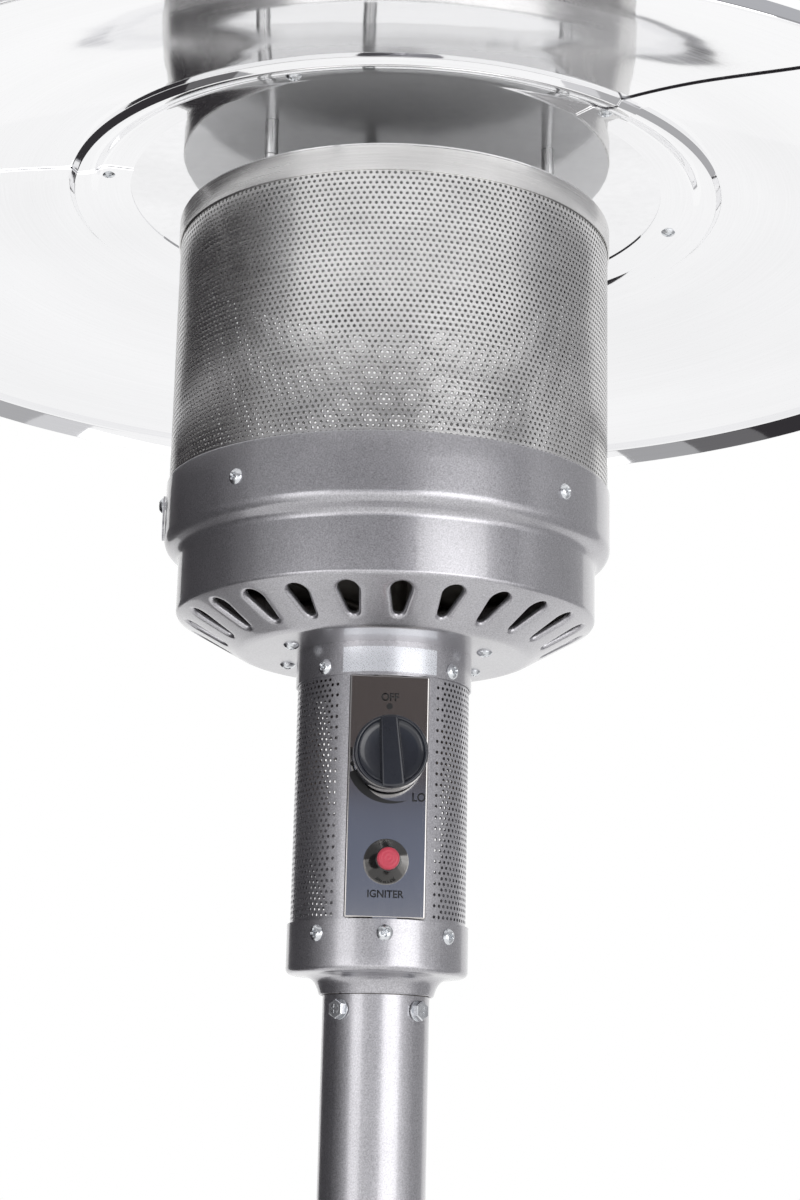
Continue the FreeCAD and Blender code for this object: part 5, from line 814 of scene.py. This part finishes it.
# Stainless steel, punched and rolled: a mill finish that blurs what it mirrors and is slightly cloudy.
FINISHES["screen_stainless"] = finish(
    "stainless_steel_punched_rolled", "#eeedec", "#dcdbda", 1.0, (0.2, 0.28), (25, 1.0, 1.0), 30, 0.05,
    around_axis=True)
# Aluminium, bright rolled: nearly a mirror, with fine rolling lines and long gentle waves.
FINISHES["reflector_aluminium"] = finish(
    "aluminium_bright_rolled", "#fafafb", "#f3f3f4", 1.0, (0.03, 0.06), (40, 0.8, 0.8), 90, 0.02,
    swell=0.22, swell_size=80.0, around_axis=True)
# The same sheet cut to a disc: the same mirror without lines round the axis.
FINISHES["disc_aluminium"] = finish(
    "aluminium_bright_disc", "#fafafb", "#f2f2f3", 1.0, (0.04, 0.07), (6, 6, 6), 90, 0.03,
    swell=0.25, swell_size=60.0)
# Stainless steel, pressed with its bright mill skin: a mirror with a milky share.
FINISHES["deck_stainless"] = finish(
    "stainless_steel_bright_pressed", "#f7f7f7", "#eeeeee", 0.45, (0.08, 0.12), (6, 6, 6), 60, 0.03)
print(len(FINISHES), "sheet finishes")

# %% [markdown]
# ### Small parts
# Bolts, rods and burner parts are steel, brass and iron, and the knob, the button and the wheels are
# plastic. Plastic isn't metallic: its colour lies under a clear skin, so only the roughness of that skin
# tells a satin knob from a polished bezel.

# %% Steel, brass and iron
# Steel, zinc plated: cool and slightly cloudy, with soft bright reflections.
FINISHES["zinc_steel"] = finish(
    "steel_zinc_plated", "#f0f2f4", "#d3d6da", 1.0, (0.2, 0.32), (1.2, 1.2, 1.2), 9, 0.08)
# Steel rod, drawn and zinc plated: a paler, more even sheen that takes light from all sides.
FINISHES["rod_steel"] = finish(
    "steel_rod_drawn_zinc_plated", "#f0f0f0", "#dedede", 0.7, (0.25, 0.33), (1.2, 1.2, 30), 20, 0.04)
# Brass, turned: warm and a little dull.
FINISHES["brass"] = finish(
    "brass_turned", "#cda869", "#b08a4a", 1.0, (0.2, 0.32), (0.6, 0.6, 0.6), 12, 0.12)
# Iron, sand cast: dark and grainy, with hardly a highlight.
FINISHES["cast_iron"] = finish(
    "iron_sand_cast", "#4a4a4c", "#2f2f31", 0.3, (0.6, 0.8), (1.5, 1.5, 1.5), 25, 0.15, swell=0.15,
    swell_size=1.5)
# Steel, browned by the flame: blotchy and warm grey.
FINISHES["burner_steel"] = finish(
    "steel_browned_by_heat", "#8f8a84", "#6c665f", 1.0, (0.35, 0.55), (2, 2, 2), 30, 0.25)

# %% Plastics, ink and foil
# ABS, moulded in a satin mould: blue-black with a broad soft highlight.
FINISHES["black_plastic"] = finish(
    "abs_moulded_satin", "#292c35", "#21242c", 0.0, (0.16, 0.22), (0.6, 0.6, 0.6), 30, 0.08,
    Coat_Weight=0.4, Coat_Roughness=0.12)
# Phenolic plastic, turned and polished: black with sharp highlights.
FINISHES["gloss_black_plastic"] = finish(
    "phenolic_turned_polished", "#262625", "#1b1b1a", 0.0, (0.07, 0.12), (0.6, 0.6, 0.6), 20, 0.1,
    Coat_Weight=0.6, Coat_Roughness=0.1)
# Nylon, moulded: an even, slightly pink red without a sharp highlight.
FINISHES["red_plastic"] = finish(
    "nylon_moulded", "#dd4b60", "#cf4256", 0.0, (0.3, 0.4), (0.8, 0.8, 0.8), 8, 0.08)
# Polypropylene, moulded in a coarse mould: dark and nearly dull.
FINISHES["wheel_plastic"] = finish(
    "polypropylene_moulded_coarse", "#2b2c2f", "#1f2022", 0.0, (0.5, 0.62), (0.8, 0.8, 0.8), 20, 0.1,
    swell=0.03, swell_size=1.0)
# Ink, screen printed: nearly black and dull on the bright panel.
FINISHES["print_ink"] = finish(
    "ink_screen_printed", "#141416", "#0c0c0e", 0.0, (0.4, 0.5), (0.4, 0.4, 0.4), 10, 0.1)
# Aluminium foil with a clear skin, blank: pale and half mirror, half white.
FINISHES["label_foil"] = finish(
    "aluminium_foil_label", "#f1f3f7", "#e3e5ea", 0.5, (0.25, 0.32), (0.6, 0.6, 0.6), 20, 0.04)
print(len(FINISHES), "finishes in all")

# %% Giving every piece its finish
# Three frame parts get a finish of their own, and all the others the one named by their slot.
OWN_FINISH = {"collar_plate": "label_foil", "emitter_deck": "deck_stainless",
              "reflector_center_plate": "disc_aluminium"}
for row in frame["record"]["subparts"]:
    chosen = OWN_FINISH.get(row["node"], row["material_slot"])
    nodes[row["node"]].data.materials.clear()
    nodes[row["node"]].data.materials.append(FINISHES[chosen])
for thing, chosen in made:
    thing.data.materials.clear()
    thing.data.materials.append(FINISHES[chosen])
print(len(nodes), "frame parts and", len(made), "new pieces have a finish")

# %% [markdown]
# ## Studio
# The heater stands on a pale floor under soft lamps. The background is white to the camera and to mirrors,
# while the light that the surroundings give to the surfaces stays at a plain level.

# %% Floor, surroundings and lamps
floor_points, floor_faces = carried([(0, 0), (400, 0), (1500, 0), (3500, 0), (9000, 0)], 96)
floor_mesh = bpy.data.meshes.new("floor")
floor_points, floor_faces = welded(floor_points - np.array([0, 0, POST_TOP * MM]), floor_faces)
quads = floor_faces[:, ::-1].tolist()
floor_mesh.from_pydata(floor_points.tolist(), [], [list(dict.fromkeys(corners)) for corners in quads])
floor = bpy.data.objects.new("floor", floor_mesh)
bpy.context.scene.collection.objects.link(floor)
# Floor paint, rolled on: matt and even, so that it keeps the heater's shadow.
floor_finish = finish("floor_paint_rolled", "#efefef", "#e9e9ea", 0.0, (0.6, 0.7), (4, 4, 4), 400, 0.02)
floor.data.materials.append(floor_finish)


def seen(tree, by_camera, by_mirrors):
    """The share of white: one value for camera rays, one for glossy and transmission rays, 0 for the rest."""
    path = add(tree, "ShaderNodeLightPath").outputs
    mirror = add(tree, "ShaderNodeMath", {0: path["Is Glossy Ray"], 1: path["Is Transmission Ray"]},
                 operation="MAXIMUM").outputs[0]
    part = add(tree, "ShaderNodeMath", {0: mirror, 1: by_mirrors}, operation="MULTIPLY").outputs[0]
    return add(tree, "ShaderNodeMath", {0: path["Is Camera Ray"], 1: by_camera, 2: part},
               operation="MULTIPLY_ADD").outputs[0]


tree = floor_finish.node_tree
glow = add(tree, "ShaderNodeEmission", {"Color": (1, 1, 1, 1), "Strength": 1.0}).outputs[0]
paint = tree.nodes["Principled BSDF"].outputs[0]
mixed = add(tree, "ShaderNodeMixShader", {0: seen(tree, 0.6, 0.95), 1: paint, 2: glow})
tree.links.new(mixed.outputs[0], tree.nodes["Material Output"].inputs["Surface"])

# %% The white surroundings
world = bpy.data.worlds.new("studio")
bpy.context.scene.world = world
world.use_nodes = True
tree = world.node_tree
tree.nodes.clear()
soft = add(tree, "ShaderNodeBackground", {"Color": colour("#f8f9ff"), "Strength": 0.5}).outputs[0]
white = add(tree, "ShaderNodeBackground", {"Color": (1, 1, 1, 1), "Strength": 1.0}).outputs[0]
mixed = add(tree, "ShaderNodeMixShader", {0: seen(tree, 1.0, 1.0), 1: soft, 2: white}).outputs[0]
add(tree, "ShaderNodeOutputWorld", {"Surface": mixed})


# %% Lamps
def lamp(name, azimuth, distance, height, width, tall, level, aim):
    """A soft box at an azimuth in degrees and a distance in metres.

    level is how bright its face is, and aim is the height on the axis that it points at.
    """
    light = bpy.data.lights.new(name, "AREA")
    light.shape, light.size, light.size_y = "RECTANGLE", width, tall
    light.energy = level * math.pi * width * tall
    holder = bpy.data.objects.new(name, light)
    turn = math.radians(azimuth)
    place = Vector((distance * math.sin(turn), -distance * math.cos(turn), height))
    holder.location = place
    holder.rotation_euler = (Vector((0, 0, aim)) - place).to_track_quat("-Z", "Y").to_euler()
    bpy.context.scene.collection.objects.link(holder)
    holder.visible_camera = False


# The key lamp stands at the front right, the side lamp at the left, and the overhead one lights the floor.
lamp("key", 30, 2.6, 1.7, 1.8, 1.8, 2.1, 1.7)
lamp("side", -44, 2.6, 1.5, 1.1, 1.4, 1.4, 1.5)
lamp("overhead", 0, 0.3, 6.0, 4.0, 4.0, 1.5, 0.0)

# %% [markdown]
# ### Cards round the heater
# Metal looks like metal because it mirrors light and dark. A photographer puts black and grey cards round
# shiny things, so that round surfaces get dark edges against the white background. Here the cards are
# painted reflections: curved sheets that glow with their own tone stand round the heater, and a flat grey
# one hangs over it. Only mirror-like rays see them, so they change no light that falls on the heater.

# %% Cards that only reflections see
# A card glows with its own tone and only mirror-like rays see it: it is a painted reflection.
def card(name, start, end, low, high, tone, level=1.0, distance=4.0, lean=0.0):
    """A curved sheet between two azimuths in degrees and two heights in metres, its top leaning inwards."""
    section = [(distance / MM, low / MM - POST_TOP), ((distance - lean) / MM, high / MM - POST_TOP)]
    points, faces = carried(section, max(4, round(end - start) // 3), start, end)
    mesh = bpy.data.meshes.new(name)
    mesh.from_pydata(points.tolist(), [], faces.tolist())
    sheet = bpy.data.objects.new(name, mesh)
    bpy.context.scene.collection.objects.link(sheet)
    sheet.visible_camera = sheet.visible_diffuse = sheet.visible_shadow = sheet.visible_transmission = False
    material = bpy.data.materials.new(name)
    material.use_nodes = True
    tree = material.node_tree
    tree.nodes.clear()
    shine = add(tree, "ShaderNodeEmission", {"Color": colour(tone), "Strength": level}).outputs[0]
    add(tree, "ShaderNodeOutputMaterial", {"Surface": shine})
    mesh.materials.append(material)


# The left cards put painted dark reflections on the left edges and the right ones on the right edges, each
# in steps, so that no edge is hard. The front cards are the painted reflection in the middle of the
# head, and the two behind the camera the painted reflection in the panel, bluish below and brownish above.
# The low strip is a painted highlight, a white band that only mirrors see, for bright lines on the
# housing's underside, and the ceiling is the painted reflection on the tops.
card("black_left", -152, -92, 0.0, 3.0, "#353336", distance=1.7)
card("dark_left", -92, -76, 0.0, 3.0, "#6a696b", distance=1.7)
card("grey_left", -76, -60, 0.0, 3.0, "#a5a5a7", distance=1.7)
card("front_low", -62, 70, 0.2, 2.3, "#f2f2f4")
card("front_high", -62, 70, 2.3, 5.2, "#9c9c9f")
card("behind_camera_low", -7, 15, 2.08, 2.42, "#8089a0", distance=3.9)
card("behind_camera_high", -7, 15, 2.42, 2.86, "#615a59", distance=3.9)
card("grey_right", 80, 127, 0.0, 3.0, "#aeaeb0", distance=1.7)
card("pale_right", 68, 80, 0.0, 3.0, "#d4d4d6", distance=1.7)
card("painted_highlight_strip", -58, 72, 0.75, 1.3, "#ffffff", 1.6, 2.5)
card("ceiling", 0, 360, 5.2, 5.2, "#b4b5b9", lean=4.0)
print("cards and lamps placed")
